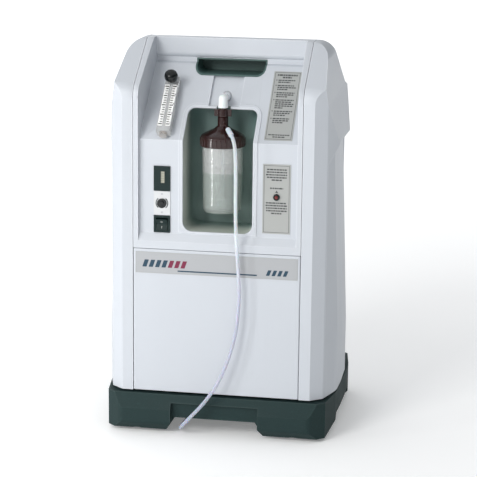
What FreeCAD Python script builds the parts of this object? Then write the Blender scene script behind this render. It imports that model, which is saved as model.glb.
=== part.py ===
"""Oxygen concentrator: a floor-standing cabinet on casters with a bottle humidifier.

The origin is on the floor under the middle of the cabinet, +Z is up, the control panel
faces -Y and +X is the user's right. All lengths are millimetres.
"""
import FreeCAD, Part
import math
import os
import re
import Sketcher

from FreeCAD import Placement, Rotation, Vector

DIMS = {
    # cabinet envelope
    "top_z": 699, "cabinet_z": 76, "half_depth": 168, "seam_half": 150, "seam_gap": 0.9, "skin": 3,
    "facet_y": 150, "flank_y": 94, "belly_y": 38, "belly_x": 209.5,
    "corner_x": 170, "facet_x": 192, "flank_x": 208.5,
    "rear_corner_x": 163, "rear_facet_x": 183, "rear_flank_x": 196, "rear_belly_x": 207.5,
    "flank_round": 90, "facet_round": 6, "side_wall": 18, "flare": 2.5,
    "shoulder_z": 512, "hip_x": 191, "brow_z": 600, "crown_x": 177, "crown_round": 30, "shoulder_round": 150,
    "knee_z": 620, "knee_round": 34, "ridge_y": -56, "ridge_round": 20, "back_ridge_y": -8,
    "hip_y": 92, "hip_z": 612, "tail_z": 590, "tail_round": 24,
    # recess along each side under the shoulder
    "recess_end_y": 147, "recess_low": -3.8, "recess_draft": 2.13, "recess_z": 529,
    "recess_front_z": 498, "recess_bend_y": -96, "recess_round": 32, "bevel_rise": 15, "bevel_run": 26,
    # control panel scoop
    "scoop_half": 137, "scoop_mouth": 141, "sill_z": 352, "ledge_z": 366, "panel_y": -160, "kink_z": 532,
    "incline_end_y": -40, "incline_end_z": 652, "groove_y": -31, "groove_z": 655,
    "bar_front_y": -38, "bar_under_z": 667, "bar_back_z": 663, "bar_round": 9, "bar_wall": 3.5,
    "panel_bottom": 338.5, "channel_half": 28, "channel_deep": 5, "channel_low": 66, "channel_high": 152,
    # humidifier well and grip pocket
    "well_half": 65, "well_low": 368, "well_top": 586, "well_round": 15, "well_low_round": 20,
    "well_corner": 28, "well_back": -64, "notch_half": 12, "notch_back": -101, "notch_top": 592,
    "liner": 2.5, "fit_gap": 0.3, "rim": 4.5, "rim_rise": 1.6,
    "pocket_half": 64, "pocket_low": 634, "pocket_top": 662, "pocket_back": 14, "pocket_round": 16,
    # door
    "door_top": 337.6, "door_depth": 12, "band_low": 294, "band_high": 332, "band_half": 145,
    "band_thick": 0.6,
    # controls on the upright part of the panel
    "control_x": -99.2, "control_wide": 29.5, "hour_z": 463.5, "hour_tall": 44.4, "hour_deep": 22,
    "flange": 2.2, "window_wide": 7, "window_tall": 21, "window_x": 1.5, "window_up": 2.5, "body_step": 2.5,
    "breaker_z": 419.4, "breaker_tall": 42.4, "breaker_plate": 1.2, "breaker_collar": 8.6,
    "breaker_barrel": 6.5, "breaker_deep": 30, "collar_deep": 2.6, "button_radius": 4.6, "button_proud": 5,
    "rocker_z": 382, "rocker_tall": 30.6, "rocker_deep": 24, "rocker_rim": 4.2,
    "rocker_gap": 0.5, "rocker_tilt": 8, "rocker_pin": 1.5, "rocker_pin_deep": 3, "rocker_crest": 2.6,
    "rocker_belly": 8,
    # labels and alarm light
    "label_low_x": 80, "label_high_x": 129, "label_low_z": 374, "label_high_z": 497,
    "label_thick": 0.8, "incline_label_low": 8, "incline_label_high": 158,
    "alarm_x": 104.5, "alarm_z": 439, "alarm_radius": 4.5,
    # flowmeter, measured up the incline from its foot
    "meter_x": -97, "meter_half": 12, "meter_back": -1, "meter_front": -17, "meter_axis": -9,
    "meter_low": 8, "meter_high": 126, "bore_radius": 3.9, "bore_high": 106,
    "float_radius": 3.4, "float_rest": 43, "knob_up": 117, "knob_radius": 12, "stem_radius": 2.4,
    "stem_hole": 2.46, "stem_reach": 7, "fitting_radius": 7, "fitting_tall": 6, "plug_tall": 6,
    # humidifier on its outlet
    "bottle_y": -115, "outlet_z": 601, "elbow_radius": 8.2, "elbow_bore": 3.6, "outlet_face_y": -97,
    "outlet_radius": 8.1, "outlet_hole": 8.9, "outlet_back_y": -58, "nut_top": 585, "nut_low": 569.3,
    "nut_radius": 9.5, "wing_half": 15.2, "wing_thick": 4.2, "spindle": 6, "spindle_fit": 6.06,
    "lid_radius": 39.4, "lid_inner": 37.4, "lid_low": 518.5, "lid_edge": 535, "lid_roof": 540,
    "lid_ceiling": 534, "neck_radius": 9.4, "neck_low": 550, "spindle_bore": 2.6,
    "jar_radius": 36.4, "jar_taper": 1.6, "jar_wall": 2.4, "jar_low": 401.5, "jar_rim": 531.6,
    "jar_floor": 408, "gasket_inner": 30, "water_z": 473, "water_gap": 0.06, "water_hole": 8,
    "dip_radius": 2.5, "dip_low": 424, "stone_low": 411, "stone_radius": 7,
    "rib_count": 30, "rib_radius": 0.9,
    # supply tube
    "tube_radius": 3.2, "nipple_radius": 2.2, "cuff_radius": 4.6,
    "coil_x": 12, "coil_y": 256, "coil_mid": 38.2, "coil_half_wide": 11, "coil_tall": 13.4,
    "plug_radius": 5.2, "plug_long": 32, "socket_radius": 3, "socket_deep": 16,
    # base and casters
    "base_half_w": 209.5, "base_half_d": 184, "base_top": 72, "apron_z": 30, "foot_z": 6,
    "foot_inner_x": 88, "arch_x": 73, "foot_inner_y": 96, "arch_y": 80, "break_z": 46,
    "base_lip": 6, "apron_set": 12, "foot_chamfer_x": 171, "foot_chamfer_y": 160, "foot_cut": 27,
    "tray_floor": 40, "tray_half_x": 100, "tray_half_y": 84, "tray_long_x": 196, "tray_long_y": 158,
    "caster_x": 142, "caster_y": 137, "caster_well": 36, "caster_roof": 56,
    "wheel_radius": 20, "wheel_half": 8, "trail": 12, "axle_radius": 2.5, "axle_hole": 2.55,
    "fork_half": 12, "fork_plate": 2.5, "fork_top": 50, "swivel_radius": 13, "stem_pin": 5,
    "stem_socket": 5.08, "stem_top": 66, "wheel_hub": 6,
    # rear
    "filter_half": 72, "filter_low": 352, "filter_high": 472, "filter_thick": 14, "frame_rim": 8,
    "slot_count": 6, "slot_pitch": 24, "slot_wide": 18,
    "louvre_half": 95, "louvre_low": 120, "louvre_pitch": 14, "louvre_tall": 5,
    "louvre_count": 8, "inlet_x": 112, "inlet_z": 250, "inlet_wide": 34, "inlet_tall": 26,
    "inlet_step": 3.3, "inlet_deep": 20, "inlet_cavity_wide": 25, "inlet_cavity_tall": 17,
    "inlet_cavity_deep": 15,
    "screw_head": 4.5, "screw_rise": 2.8, "screw_shank": 1.9, "screw_hole": 2.3, "screw_long": 12,
    "cross_wide": 1, "cross_long": 5, "cross_deep": 1.6,
    # inside the cabinet
    "chassis_z": 80, "chassis_thick": 2, "chassis_half_x": 164, "chassis_half_y": 130,
    "pump_z": 158, "pump_y": 10, "motor_radius": 52, "motor_half": 62, "head_radius": 44,
    "head_thick": 34, "fin_pitch": 7, "fin_slot": 3, "fin_deep": 8, "saddle_drop": 4,
    "mount_radius": 9, "mount_x": 50, "mount_y": 34,
    "fan_z": 236, "fan_half": 60, "fan_tall": 25, "fan_bore": 57, "fan_hub": 20, "fan_blades": 7,
    "fan_pin": 2, "fan_pin_hole": 2.06, "blade_thick": 2, "blade_pitch": 35,
    "bed_x": 82, "bed_y": 88, "bed_radius": 36, "bed_low": 276, "bed_high": 556,
    "tank_y": 0, "tank_radius": 32, "tank_high": 440, "valve_high": 584, "valve_half_y": 20,
    "valve_over": 24, "solenoid_radius": 10, "solenoid_tall": 12,
    "pipe_radius": 4, "coil_half": 46, "coil_pitch": 22, "coil_z": 268, "coil_rows": 5,
    "board_x": -176, "board_half_y": 62, "board_low": 300, "board_high": 440, "board_thick": 1.6,
    "can_radius": 21, "can_x": -142, "can_y": -70, "can_high": 180,
    "muffler_x": 136, "muffler_y": -70, "muffler_radius": 26, "muffler_high": 190,
    "intake_x": -128, "intake_y": 30, "intake_radius": 27, "intake_low": 270, "intake_high": 340,
}

# The supply tube's free run, from the cuff to the coil behind the cabinet.
TUBE_ROUTE = [
    (24, -165, 546), (34, -187, 539), (38, -197, 511), (38, -193, 470), (37, -187, 420),
    (38, -184, 366), (42, -183, 312), (45, -184, 268), (43, -185, 226), (38, -186, 188),
    (27, -188, 148), (11, -190, 107), (-13, -193, 69), (-41, -195, 38), (-60, -184, 16),
    (-67, -150, 4.5), (-66, -95, 3.3), (-58, -20, 3.3), (-62, 60, 3.3), (-58, 130, 3.3),
    (-50, 196, 3.3), (-36, 256, 3.3),
]
CUFF_START = (15, -145.4, 552)
NIPPLE_START = (3.5, -120.4, 559)
COIL_END = (44.4, 292.2, 7.8)
CONNECTOR_START = (59.6, 288.1, 5.4)
CONNECTOR_HEADING = Vector(0.965, -0.262, 0)

doc = FreeCAD.newDocument("oxygen_concentrator")
sheet = doc.addObject("Spreadsheet::Sheet", "Dims")
for row, (alias, size) in enumerate(DIMS.items(), 1):
    sheet.set(f"A{row}", alias)
    sheet.set(f"B{row}", str(size))
    sheet.setAlias(f"B{row}", alias)
doc.recompute()

NODES = {}
VIEWS = {"plan": ("XY_Plane", "xy", "z"), "front": ("XZ_Plane", "xz", "y"), "side": ("YZ_Plane", "yz", "x")}
AXES = {"x": Vector(1, 0, 0), "y": Vector(0, 1, 0), "z": Vector(0, 0, 1)}
INCLINE = Rotation(Vector(1, 0, 0), -45)
FULL_TURN = 360
FAR = 260


# ---------------------------------------------------------------- helpers

def formula(text):
    """Turns dimension names in a text into references to the spreadsheet."""
    def refer(word):
        name = word.group()
        return "Dims." + name if name in DIMS else name
    return re.sub(r"[a-z_]+", refer, str(text))


def value(text):
    return float(sheet.evalExpression(formula(text)))


def bind(part, prop, text):
    part.setExpression(prop, formula(text))


def place(part, at, turn=Rotation()):
    part.Placement = Placement(Vector(*[value(text) for text in at]), turn)
    for axis, text in zip("xyz", at):
        bind(part, "Placement.Base." + axis, text)
    return part


def node(name, part):
    """Names a finished sub-part."""
    part.Label = name
    NODES[name] = part
    return part


def block(name, xs, ys, zs):
    """A rectangular block between three pairs of limits."""
    part = doc.addObject("Part::Box", name)
    for prop, (low, high) in zip(("Length", "Width", "Height"), (xs, ys, zs)):
        bind(part, prop, f"({high}) - ({low})")
    return place(part, [limits[0] for limits in (xs, ys, zs)])


def rod(name, axis, radius, start, length):
    """A cylinder that starts at a point and runs along an axis."""
    part = doc.addObject("Part::Cylinder", name)
    bind(part, "Radius", radius)
    bind(part, "Height", length)
    direction = AXES[axis] if isinstance(axis, str) else axis
    return place(part, start, Rotation(Vector(0, 0, 1), direction))


def ball(name, radius, centre):
    part = doc.addObject("Part::Sphere", name)
    bind(part, "Radius", radius)
    return place(part, centre)


def fuse(name, *parts):
    part = doc.addObject("Part::MultiFuse", name)
    part.Shapes = list(parts)
    return part


def common(name, *parts):
    part = doc.addObject("Part::MultiCommon", name)
    part.Shapes = list(parts)
    return part


def cut(name, base, *tools):
    part = doc.addObject("Part::Cut", name)
    part.Base = base
    part.Tool = tools[0] if len(tools) == 1 else fuse(name + "_tools", *tools)
    return part


def group(name, *parts):
    part = doc.addObject("Part::Compound", name)
    part.Links = list(parts)
    return part


def sketch_outline(body, role, outline):
    """A closed outline of straight lines whose corners are held by the spreadsheet."""
    sketch = body.newObject("Sketcher::SketchObject", body.Name + "_sketch")
    plane = next(item for item in body.Origin.OriginFeatures if item.Role == role)
    sketch.AttachmentSupport = [(plane, "")]
    sketch.MapMode = "FlatFace"
    points = [Vector(value(u), value(v), 0) for u, v in outline]
    for index, point in enumerate(points):
        sketch.addGeometry(Part.LineSegment(point, points[(index + 1) % len(points)]))
    for index in range(len(points)):
        following = (index + 1) % len(points)
        sketch.addConstraint(Sketcher.Constraint("Coincident", index, 2, following, 1))
    for index, (texts, point) in enumerate(zip(outline, points)):
        places = (("DistanceX", texts[0], point.x, -2), ("DistanceY", texts[1], point.y, -1))
        for kind, text, size, axis in places:
            if abs(size) < 1e-9:
                sketch.addConstraint(Sketcher.Constraint("PointOnObject", index, 1, axis))
                continue
            number = sketch.addConstraint(Sketcher.Constraint(kind, -1, 1, index, 1, size))
            bind(sketch, f"Constraints[{number}]", text)
    return sketch


def round_corners(body, feature, letters, outline, corners, radius):
    """Fillets the edges of a pad that rise from the given corners of its outline."""
    doc.recompute()
    wanted = [(value(outline[index][0]), value(outline[index][1])) for index in corners]

    def rises_from(edge, corner):
        ends = [vertex.Point for vertex in edge.Vertexes]
        return len(ends) == 2 and all(
            abs(getattr(end, letter) - size) < 1e-4 for end in ends for letter, size in zip(letters, corner))

    names = [f"Edge{number}" for number, edge in enumerate(feature.Shape.Edges, 1)
             if any(rises_from(edge, corner) for corner in wanted)]
    fillet = body.newObject("PartDesign::Fillet", body.Name + "_round")
    fillet.Base = (feature, names)
    bind(fillet, "Radius", radius)
    body.Tip = fillet
    return fillet


def prism(name, view, outline, low, high, rounds=(), draft=None):
    """Pads an outline drawn in one view between two planes; rounds lists (radius, corners)."""
    role, letters, axis = VIEWS[view]
    body = doc.addObject("PartDesign::Body", name)
    pad = body.newObject("PartDesign::Pad", name + "_pad")
    pad.Profile = sketch_outline(body, role, outline)
    bind(pad, "Length", f"({high}) - ({low})")
    if draft:
        bind(pad, "TaperAngle", f"-({draft})")
    body.Tip = pad
    feature = pad
    for radius, corners in rounds:
        feature = round_corners(body, feature, letters, outline, corners, radius)
    start = {"x": "0", "y": "0", "z": "0"}
    start[axis] = high if view == "front" else low
    return place(body, [start[letter] for letter in "xyz"])


def turned(name, outline, at, turn=Rotation()):
    """A full revolution of an outline of (radius, height) points about its own Z axis."""
    body = doc.addObject("PartDesign::Body", name)
    sketch = sketch_outline(body, "XZ_Plane", outline)
    spin = body.newObject("PartDesign::Revolution", name + "_spin")
    spin.Profile = sketch
    spin.ReferenceAxis = (sketch, ["V_Axis"])
    spin.Angle = FULL_TURN
    body.Tip = spin
    return place(body, at, turn)


def window(half, low, high):
    """The four corners of a rectangle that is centred on X."""
    return [(f"-({half})", low), (half, low), (half, high), (f"-({half})", high)]


def on_incline(x, out, up):
    """A point given by how far it is out of the incline and how far up it."""
    return (x, f"panel_y + (({up}) + ({out})) * sin(45)", f"kink_z + (({up}) - ({out})) * sin(45)")


def incline_block(name, xs, outs, ups):
    """A block that stands on the incline."""
    part = doc.addObject("Part::Box", name)
    for prop, (low, high) in zip(("Length", "Width", "Height"), (xs, outs, ups)):
        bind(part, prop, f"({high}) - ({low})")
    return place(part, on_incline(xs[0], outs[0], ups[0]), INCLINE)


def rounded_path(points, share=0.45):
    """Straight runs joined by tangent arcs, each as large as its two runs allow."""
    corners = [Vector(*point) for point in points]
    edges = []
    radii = []
    last = corners[0]
    for before, corner, after in zip(corners, corners[1:], corners[2:]):
        back = (before - corner).normalize()
        ahead = (after - corner).normalize()
        half_turn = (math.pi - back.getAngle(ahead)) / 2
        trim = share * min((before - corner).Length, (after - corner).Length)
        radius = trim / math.tan(half_turn)
        radii.append(radius)
        enter = corner + back * trim
        leave = corner + ahead * trim
        bisector = (back + ahead).normalize()
        crown = corner + bisector * (radius / math.cos(half_turn) - radius)
        edges.append(Part.LineSegment(last, enter).toShape())
        edges.append(Part.Arc(enter, crown, leave).toShape())
        last = leave
    edges.append(Part.LineSegment(last, corners[-1]).toShape())
    return Part.Wire(edges), radii


def tube_along(name, points, radius):
    """A solid tube of a given radius along a path of runs and arcs."""
    path, radii = rounded_path(points)
    start = Vector(*points[0])
    heading = Vector(*points[1]) - start
    section = Part.Wire([Part.Circle(start, heading, radius).toShape()])
    part = doc.addObject("Part::Feature", name)
    part.Shape = path.makePipeShell([section], True, False)
    expected = math.pi * radius ** 2 * path.Length
    print(f"{name}: length {path.Length:.0f}, smallest radius {min(radii):.1f},"
          f" volume ratio {part.Shape.Volume / expected:.4f}")
    return part


# ---------------------------------------------------------------- cabinet envelope

def cabinet_plan(side_inset, end_inset):
    """The barrel-shaped plan, inset at its sides and at its two ends."""
    front = [("corner_x", "-half_depth"), ("facet_x", "-facet_y"), ("flank_x", "-flank_y"),
             ("belly_x", "-belly_y")]
    rear = [("rear_belly_x", "belly_y"), ("rear_flank_x", "flank_y"), ("rear_facet_x", "facet_y"),
            ("rear_corner_x", "half_depth")]
    right = [(f"{x} - {side_inset}", f"{y} + {end_inset}") for x, y in front]
    right += [(f"{x} - {side_inset}", f"{y} - {end_inset}") for x, y in rear]
    return mirrored(right)


def mirrored(right):
    """A whole outline from its right half."""
    return right + [(f"-({x})", y) for x, y in reversed(right)]


def envelope(name, side_inset, inset):
    """The cabinet's outer form, or the space inside it, from its three views."""
    plan = prism(name + "_plan", "plan", cabinet_plan(side_inset, inset), "cabinet_z - 1", "top_z + 1",
                 [("facet_round", [1, 6, 9, 14]), ("flank_round", [2, 5, 10, 13])])
    right = [(f"belly_x + flare - {side_inset}", "cabinet_z - 2"), (f"belly_x - {side_inset}", "shoulder_z"),
             (f"hip_x - {side_inset}", "brow_z"), (f"crown_x - {side_inset}", f"top_z - {inset}")]
    front = prism(name + "_front", "front", mirrored(right), "-half_depth - 1", "half_depth + 1",
                  [("crown_round", [3, 4]), ("shoulder_round", [1, 2, 5, 6])])
    profile = [(f"{inset} - half_depth", "cabinet_z - 2"),
               (f"{inset} - half_depth", f"knee_z - {inset} * 0.4"),
               (f"ridge_y + {inset} * 0.3", f"top_z - {inset}"),
               (f"back_ridge_y - {inset} * 0.4", f"top_z - {inset}"),
               (f"hip_y - {inset} * 0.5", f"hip_z - {inset}"), (f"half_depth - {inset}", f"tail_z - {inset}"),
               (f"half_depth - {inset}", "cabinet_z - 2")]
    side = prism(name + "_side", "side", profile, "-belly_x - 4", "belly_x + 4",
                 [("knee_round", [1]), ("ridge_round", [2, 3]), ("tail_round", [5])])
    return common(name, plan, front, side)


def above_floor_line(name, part):
    slab = block(name + "_slab", (-FAR, FAR), (-FAR, FAR), ("cabinet_z", "top_z + 2"))
    return common(name, part, slab)


outer = above_floor_line("outer", envelope("outer_form", "0", "0"))
inner = envelope("inner_form", "side_wall", "skin")


def recess_tool(side):
    """The long recess under one shoulder, drafted so that it fades towards the base."""
    tag = "right" if side > 0 else "left"
    core = prism(f"recess_core_{tag}", "plan", cabinet_plan("recess_low", "0"), "cabinet_z - 1",
                 "shoulder_z + 40", draft="recess_draft")
    outline = [("-recess_end_y", "cabinet_z - 2"), ("recess_end_y", "cabinet_z - 2"),
               ("recess_end_y", "recess_z"), ("recess_bend_y", "recess_z"),
               ("-recess_end_y", "recess_front_z")]
    limits = ("seam_half + 10", "belly_x + 12") if side > 0 else ("-belly_x - 12", "-seam_half - 10")
    region = prism(f"recess_region_{tag}", "side", outline, *limits, [("recess_round", [2, 3])])
    wedge = [(f"{side} * (belly_x - bevel_run / 2)", "recess_z - bevel_rise / 2"),
             (f"{side} * (belly_x + bevel_run / 2)", "recess_z - bevel_rise / 2"),
             (f"{side} * (belly_x + bevel_run / 2)", "recess_z + bevel_rise / 2")]
    bevel = prism(f"recess_bevel_{tag}", "front", wedge, "recess_bend_y + 10", "recess_end_y - recess_round")
    return cut(f"recess_{tag}", fuse(f"recess_both_{tag}", region, bevel), core)


def side_shell(side):
    tag = "right" if side > 0 else "left"
    seam = "seam_half + seam_gap / 2"
    limits = (seam, "belly_x + 8") if side > 0 else ("-belly_x - 8", f"-({seam})")
    half = block(f"half_{tag}", limits, (-FAR, FAR), (0, "top_z + 5"))
    skin = cut(f"skin_{tag}", common(f"body_{tag}", outer, half), inner)
    return node(f"{tag}_side_shell", cut(f"shell_{tag}", skin, recess_tool(side)))


# ---------------------------------------------------------------- front

def scoop_tool():
    """What the control panel's hollow takes out of the cabinet's front and top."""
    outline = [("-half_depth - 8", "sill_z - 14"), ("panel_y", "ledge_z"), ("panel_y", "kink_z"),
               ("incline_end_y", "incline_end_z"), ("groove_y", "groove_z"), ("groove_y", "bar_back_z"),
               ("bar_front_y", "bar_under_z"), ("bar_front_y", "top_z + 40"),
               ("-half_depth - 8", "top_z + 40")]
    depth = prism("scoop_depth", "side", outline, "-scoop_mouth - 1", "scoop_mouth + 1", [("bar_round", [6])])
    right = [("scoop_mouth", "-half_depth - 10"), ("scoop_mouth", "-half_depth"),
             ("scoop_half", "bar_front_y"),
             ("scoop_half", "groove_y + 2")]
    return common("scoop", depth, prism("scoop_width", "plan", mirrored(right), "sill_z - 20", "top_z + 50"))


scoop = scoop_tool()


def front_upper_panel():
    """The frame, the recessed control panel and the carrying bar, in one moulding."""
    region = block("panel_region", ("-seam_half + seam_gap / 2", "seam_half - seam_gap / 2"),
                   ("-half_depth - 2", "back_ridge_y - 0.4"), ("panel_bottom", "top_z + 4"))
    hollow = [("panel_y + skin", "panel_bottom - 6"), ("panel_y + skin", "kink_z - 1.2"),
              ("incline_end_y + 3", "incline_end_z - 1.2"), ("groove_y + skin", "groove_z - 2"),
              ("groove_y + skin", "bar_back_z + 3"), ("bar_front_y + bar_wall", "bar_under_z + bar_wall"),
              ("bar_front_y + bar_wall", "top_z - bar_wall"), ("back_ridge_y + 4", "top_z - bar_wall"),
              ("back_ridge_y + 4", "panel_bottom - 6")]
    inside = prism("panel_hollow", "side", hollow, "skin * 1.2 - seam_half", "seam_half - skin * 1.2")
    blank = cut("panel_blank", common("panel_stock", outer, region), scoop, inside)
    channel = incline_block("channel", ("-channel_half", "channel_half"), ("-skin * 2", "channel_deep"),
                            ("channel_low", "channel_high"))
    backing = incline_block("channel_backing", ("-channel_half - skin", "channel_half + skin"),
                            ("skin / 2", "channel_deep + skin"), ("channel_low", "channel_high"))
    well = prism("well_opening", "front",
                 window("well_half + fit_gap", "well_low - fit_gap", "well_top + fit_gap"),
                 "-half_depth - 2", "well_back + 20", [("well_low_round", [0, 1]), ("well_round", [2, 3])])
    pocket = prism("pocket_opening", "front",
                   window("pocket_half + fit_gap", "pocket_low - fit_gap", "pocket_top + fit_gap"),
                   "incline_end_y - 40", "groove_y + 12", [("pocket_round", [0, 1])])
    hour = cutout("hour_cutout", "control_wide - 4", "hour_tall - 4", "hour_z")
    rocker = cutout("rocker_cutout", "control_wide - 4", "rocker_tall - 4", "rocker_z")
    breaker = rod("breaker_hole", "y", "breaker_barrel + fit_gap", ("control_x", "panel_y - 4", "breaker_z"),
                  "20")
    lamp = rod("lamp_hole", "y", "alarm_radius - 1", ("alarm_x", "panel_y - 4", "alarm_z"), "20")
    outlet = rod("outlet_hole_tool", "y", "outlet_hole", ("0", "outlet_face_y - 10", "outlet_z"), "40")
    with_rim = fuse("panel_with_rim", blank, well_rim(), backing)
    tools = [channel, well, pocket, hour, rocker, breaker, lamp, outlet, well_notch("panel_notch")]
    return node("front_upper_panel", cut("panel", with_rim, *tools))


def well_notch(name):
    """The notch over the well that the elbow comes down through."""
    return block(name, ("-notch_half", "notch_half"), ("-half_depth", "notch_back"),
                 ("well_top - 12", "notch_top"))


def cutout(name, wide, tall, z):
    return block(name, (f"control_x - ({wide}) / 2", f"control_x + ({wide}) / 2"),
                 ("panel_y - 4", "panel_y + 8"),
                 (f"{z} - ({tall}) / 2", f"{z} + ({tall}) / 2"))


def well_rim():
    """The low raised rim that frames the humidifier well."""
    edge = prism("rim_edge", "front", window("well_half + rim", "well_low + 0.5", "well_top + rim"),
                 "-half_depth - 2", "well_back", [("well_round + rim", [2, 3])])
    rise = "rim_rise"
    band = [(f"panel_y - {rise}", "ledge_z + 1"), ("panel_y + 1", "ledge_z + 1"), ("panel_y + 1", "kink_z"),
            ("incline_end_y + 1", "incline_end_z"), ("incline_end_y - 1", f"incline_end_z + {rise}"),
            (f"panel_y - {rise}", f"kink_z + {rise} * 0.6")]
    return common("rim_ring", edge, prism("rim_band", "side", band, "-scoop_half", "scoop_half"))


def tub_form(name, inset, start):
    """The well's shape with round corners, inset from its outside, from a front plane to its back."""
    face = prism(name + "_face", "front",
                 window(f"well_half - {inset}", f"well_low + {inset}", f"well_top - {inset}"), start,
                 f"well_back - {inset}",
                 [(f"well_low_round - fit_gap - {inset}", [0, 1]),
                  (f"well_round - fit_gap - {inset}", [2, 3])])
    right = [(f"well_half - {inset}", f"{start} - 1"), (f"well_half - {inset}", f"well_back - {inset}")]
    plan = prism(name + "_plan", "plan", mirrored(right), "well_low - 1", "well_top + 1",
                 [(f"well_corner - {inset}", [1, 2])])
    return common(name, face, plan)


def humidifier_well():
    """The dark tub that the bottle hangs in."""
    tub = tub_form("well_tub", "0", "-half_depth")
    space = tub_form("well_space", "liner", "-half_depth - 4")
    node("humidifier_well", cut("well", tub, space, scoop, well_notch("tub_notch")))


def grip_pocket():
    """The dark finger pocket under the carrying bar."""
    tub = prism("pocket_tub", "front", window("pocket_half", "pocket_low", "pocket_top"),
                "incline_end_y - 30",
                "pocket_back", [("pocket_round - fit_gap", [0, 1])])
    space = prism("pocket_space", "front",
                  window("pocket_half - liner", "pocket_low + liner", "pocket_top - liner"),
                  "incline_end_y - 34", "pocket_back - liner", [("pocket_round - liner", [0, 1])])
    return node("grip_pocket", cut("pocket", tub, space, scoop))


def front_door():
    """The lower front cover, a shallow tray, and the coloured band on it."""
    half = "seam_half - seam_gap / 2"
    tray = block("door_tray", (f"-({half})", half), ("-half_depth", "door_depth - half_depth"),
                 ("cabinet_z", "door_top"))
    back = block("door_back", (f"skin - ({half})", f"{half} - skin"),
                 ("skin - half_depth", "door_depth - half_depth + 1"),
                 ("cabinet_z + skin", "door_top - skin"))
    node("front_door", cut("door", tray, back))
    node("door_band", block("band", ("-band_half", "band_half"), ("-half_depth - band_thick", "-half_depth"),
                            ("band_low", "band_high")))


# ---------------------------------------------------------------- controls

TO_REAR = Rotation(Vector(1, 0, 0), -90)


def across(middle, wide):
    """The pair of limits of a width about a middle."""
    return f"{middle} - ({wide}) / 2", f"{middle} + ({wide}) / 2"


def flanged_box(name, tall, deep, z):
    """A housing with a flange on the panel and a body through its cut-out."""
    flange = block(name + "_flange", across("control_x", "control_wide"), ("panel_y - flange", "panel_y"),
                   across(z, tall))
    body = block(name + "_body", across("control_x", "control_wide - 2 * body_step"),
                 ("panel_y - 1", f"panel_y + {deep}"), across(z, f"{tall} - 2 * body_step"))
    return fuse(name + "_whole", flange, body)


def hour_meter():
    housing = flanged_box("hour", "hour_tall", "hour_deep", "hour_z")
    x = "control_x + window_x"
    z = "hour_z + window_up"
    recess = block("hour_recess", across(x, "window_wide"), ("panel_y - flange - 1", "panel_y - 0.6"),
                   across(z, "window_tall"))
    node("hour_meter", cut("hour_case", housing, recess))
    node("hour_meter_window", block("hour_glass", across(x, "window_wide - 0.2"),
                                    ("panel_y - flange + 0.3", "panel_y - 0.6"),
                                    across(z, "window_tall - 0.2")))


def circuit_breaker():
    x = "control_x"
    front = "panel_y - breaker_plate"
    plate = block("breaker_sheet", across(x, "control_wide"), (front, "panel_y"),
                  across("breaker_z", "breaker_tall"))
    hole = rod("breaker_sheet_hole", "y", "breaker_barrel + 0.1", (x, "panel_y - 4", "breaker_z"), "8")
    node("breaker_plate", cut("breaker_face", plate, hole))
    bore = "button_radius + 0.06"
    outline = [(bore, "0"), ("breaker_collar", "0"), ("breaker_collar", "collar_deep"),
               ("breaker_barrel", "collar_deep"),
               ("breaker_barrel", "breaker_deep"), ("0", "breaker_deep"), ("0", "16"), (bore, "16")]
    node("circuit_breaker", turned("breaker_barrel_form", outline,
                                   (x, f"{front} - collar_deep", "breaker_z"), TO_REAR))
    button = [("0", "0"), ("button_radius - 0.8", "0"), ("button_radius", "0.8"), ("button_radius", "12"),
              ("0", "12")]
    node("breaker_button", turned("breaker_button_form", button, (x, f"{front} - button_proud", "breaker_z"),
                                  TO_REAR))


def power_switch():
    housing = flanged_box("rocker", "rocker_tall", "rocker_deep", "rocker_z")
    half_w = "(control_wide / 2 - rocker_rim)"
    half_t = "(rocker_tall / 2 - rocker_rim)"
    pin_y = "panel_y + rocker_pin_deep"
    opening = block("rocker_opening", (f"control_x - {half_w}", f"control_x + {half_w}"),
                    ("panel_y - flange - 1", "panel_y + 15"),
                    (f"rocker_z - {half_t}", f"rocker_z + {half_t}"))
    pin = rod("rocker_pin_rod", "x", "rocker_pin", (f"control_x - {half_w} - 1", pin_y, "rocker_z"),
              f"2 * {half_w} + 2")
    node("rocker_housing", fuse("rocker_frame", cut("rocker_case", housing, opening), pin))
    tall = f"({half_t} - 1.4)"
    crest = "panel_y - flange - rocker_crest"
    back = "panel_y + rocker_belly"
    outline = [(crest, f"rocker_z + {tall}"), ("panel_y - flange + 1", "rocker_z"),
               (crest, f"rocker_z - {tall}"),
               ("panel_y + 2", f"rocker_z - {tall}"), (back, "rocker_z - 4"), (back, "rocker_z + 4"),
               ("panel_y + 2", f"rocker_z + {tall}")]
    paddle = prism("rocker_paddle", "side", outline, f"control_x - {half_w} + rocker_gap",
                   f"control_x + {half_w} - rocker_gap")
    bore = rod("rocker_bore", "x", "rocker_pin + 0.06", ("control_x - 30", pin_y, "rocker_z"), "60")
    rocker = node("power_rocker", cut("rocker", paddle, bore))
    pivot = Vector(value("control_x"), value(pin_y), value("rocker_z"))
    rocker.Placement = Placement(Vector(0, 0, 0), Rotation(Vector(1, 0, 0), DIMS["rocker_tilt"]), pivot)


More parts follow.
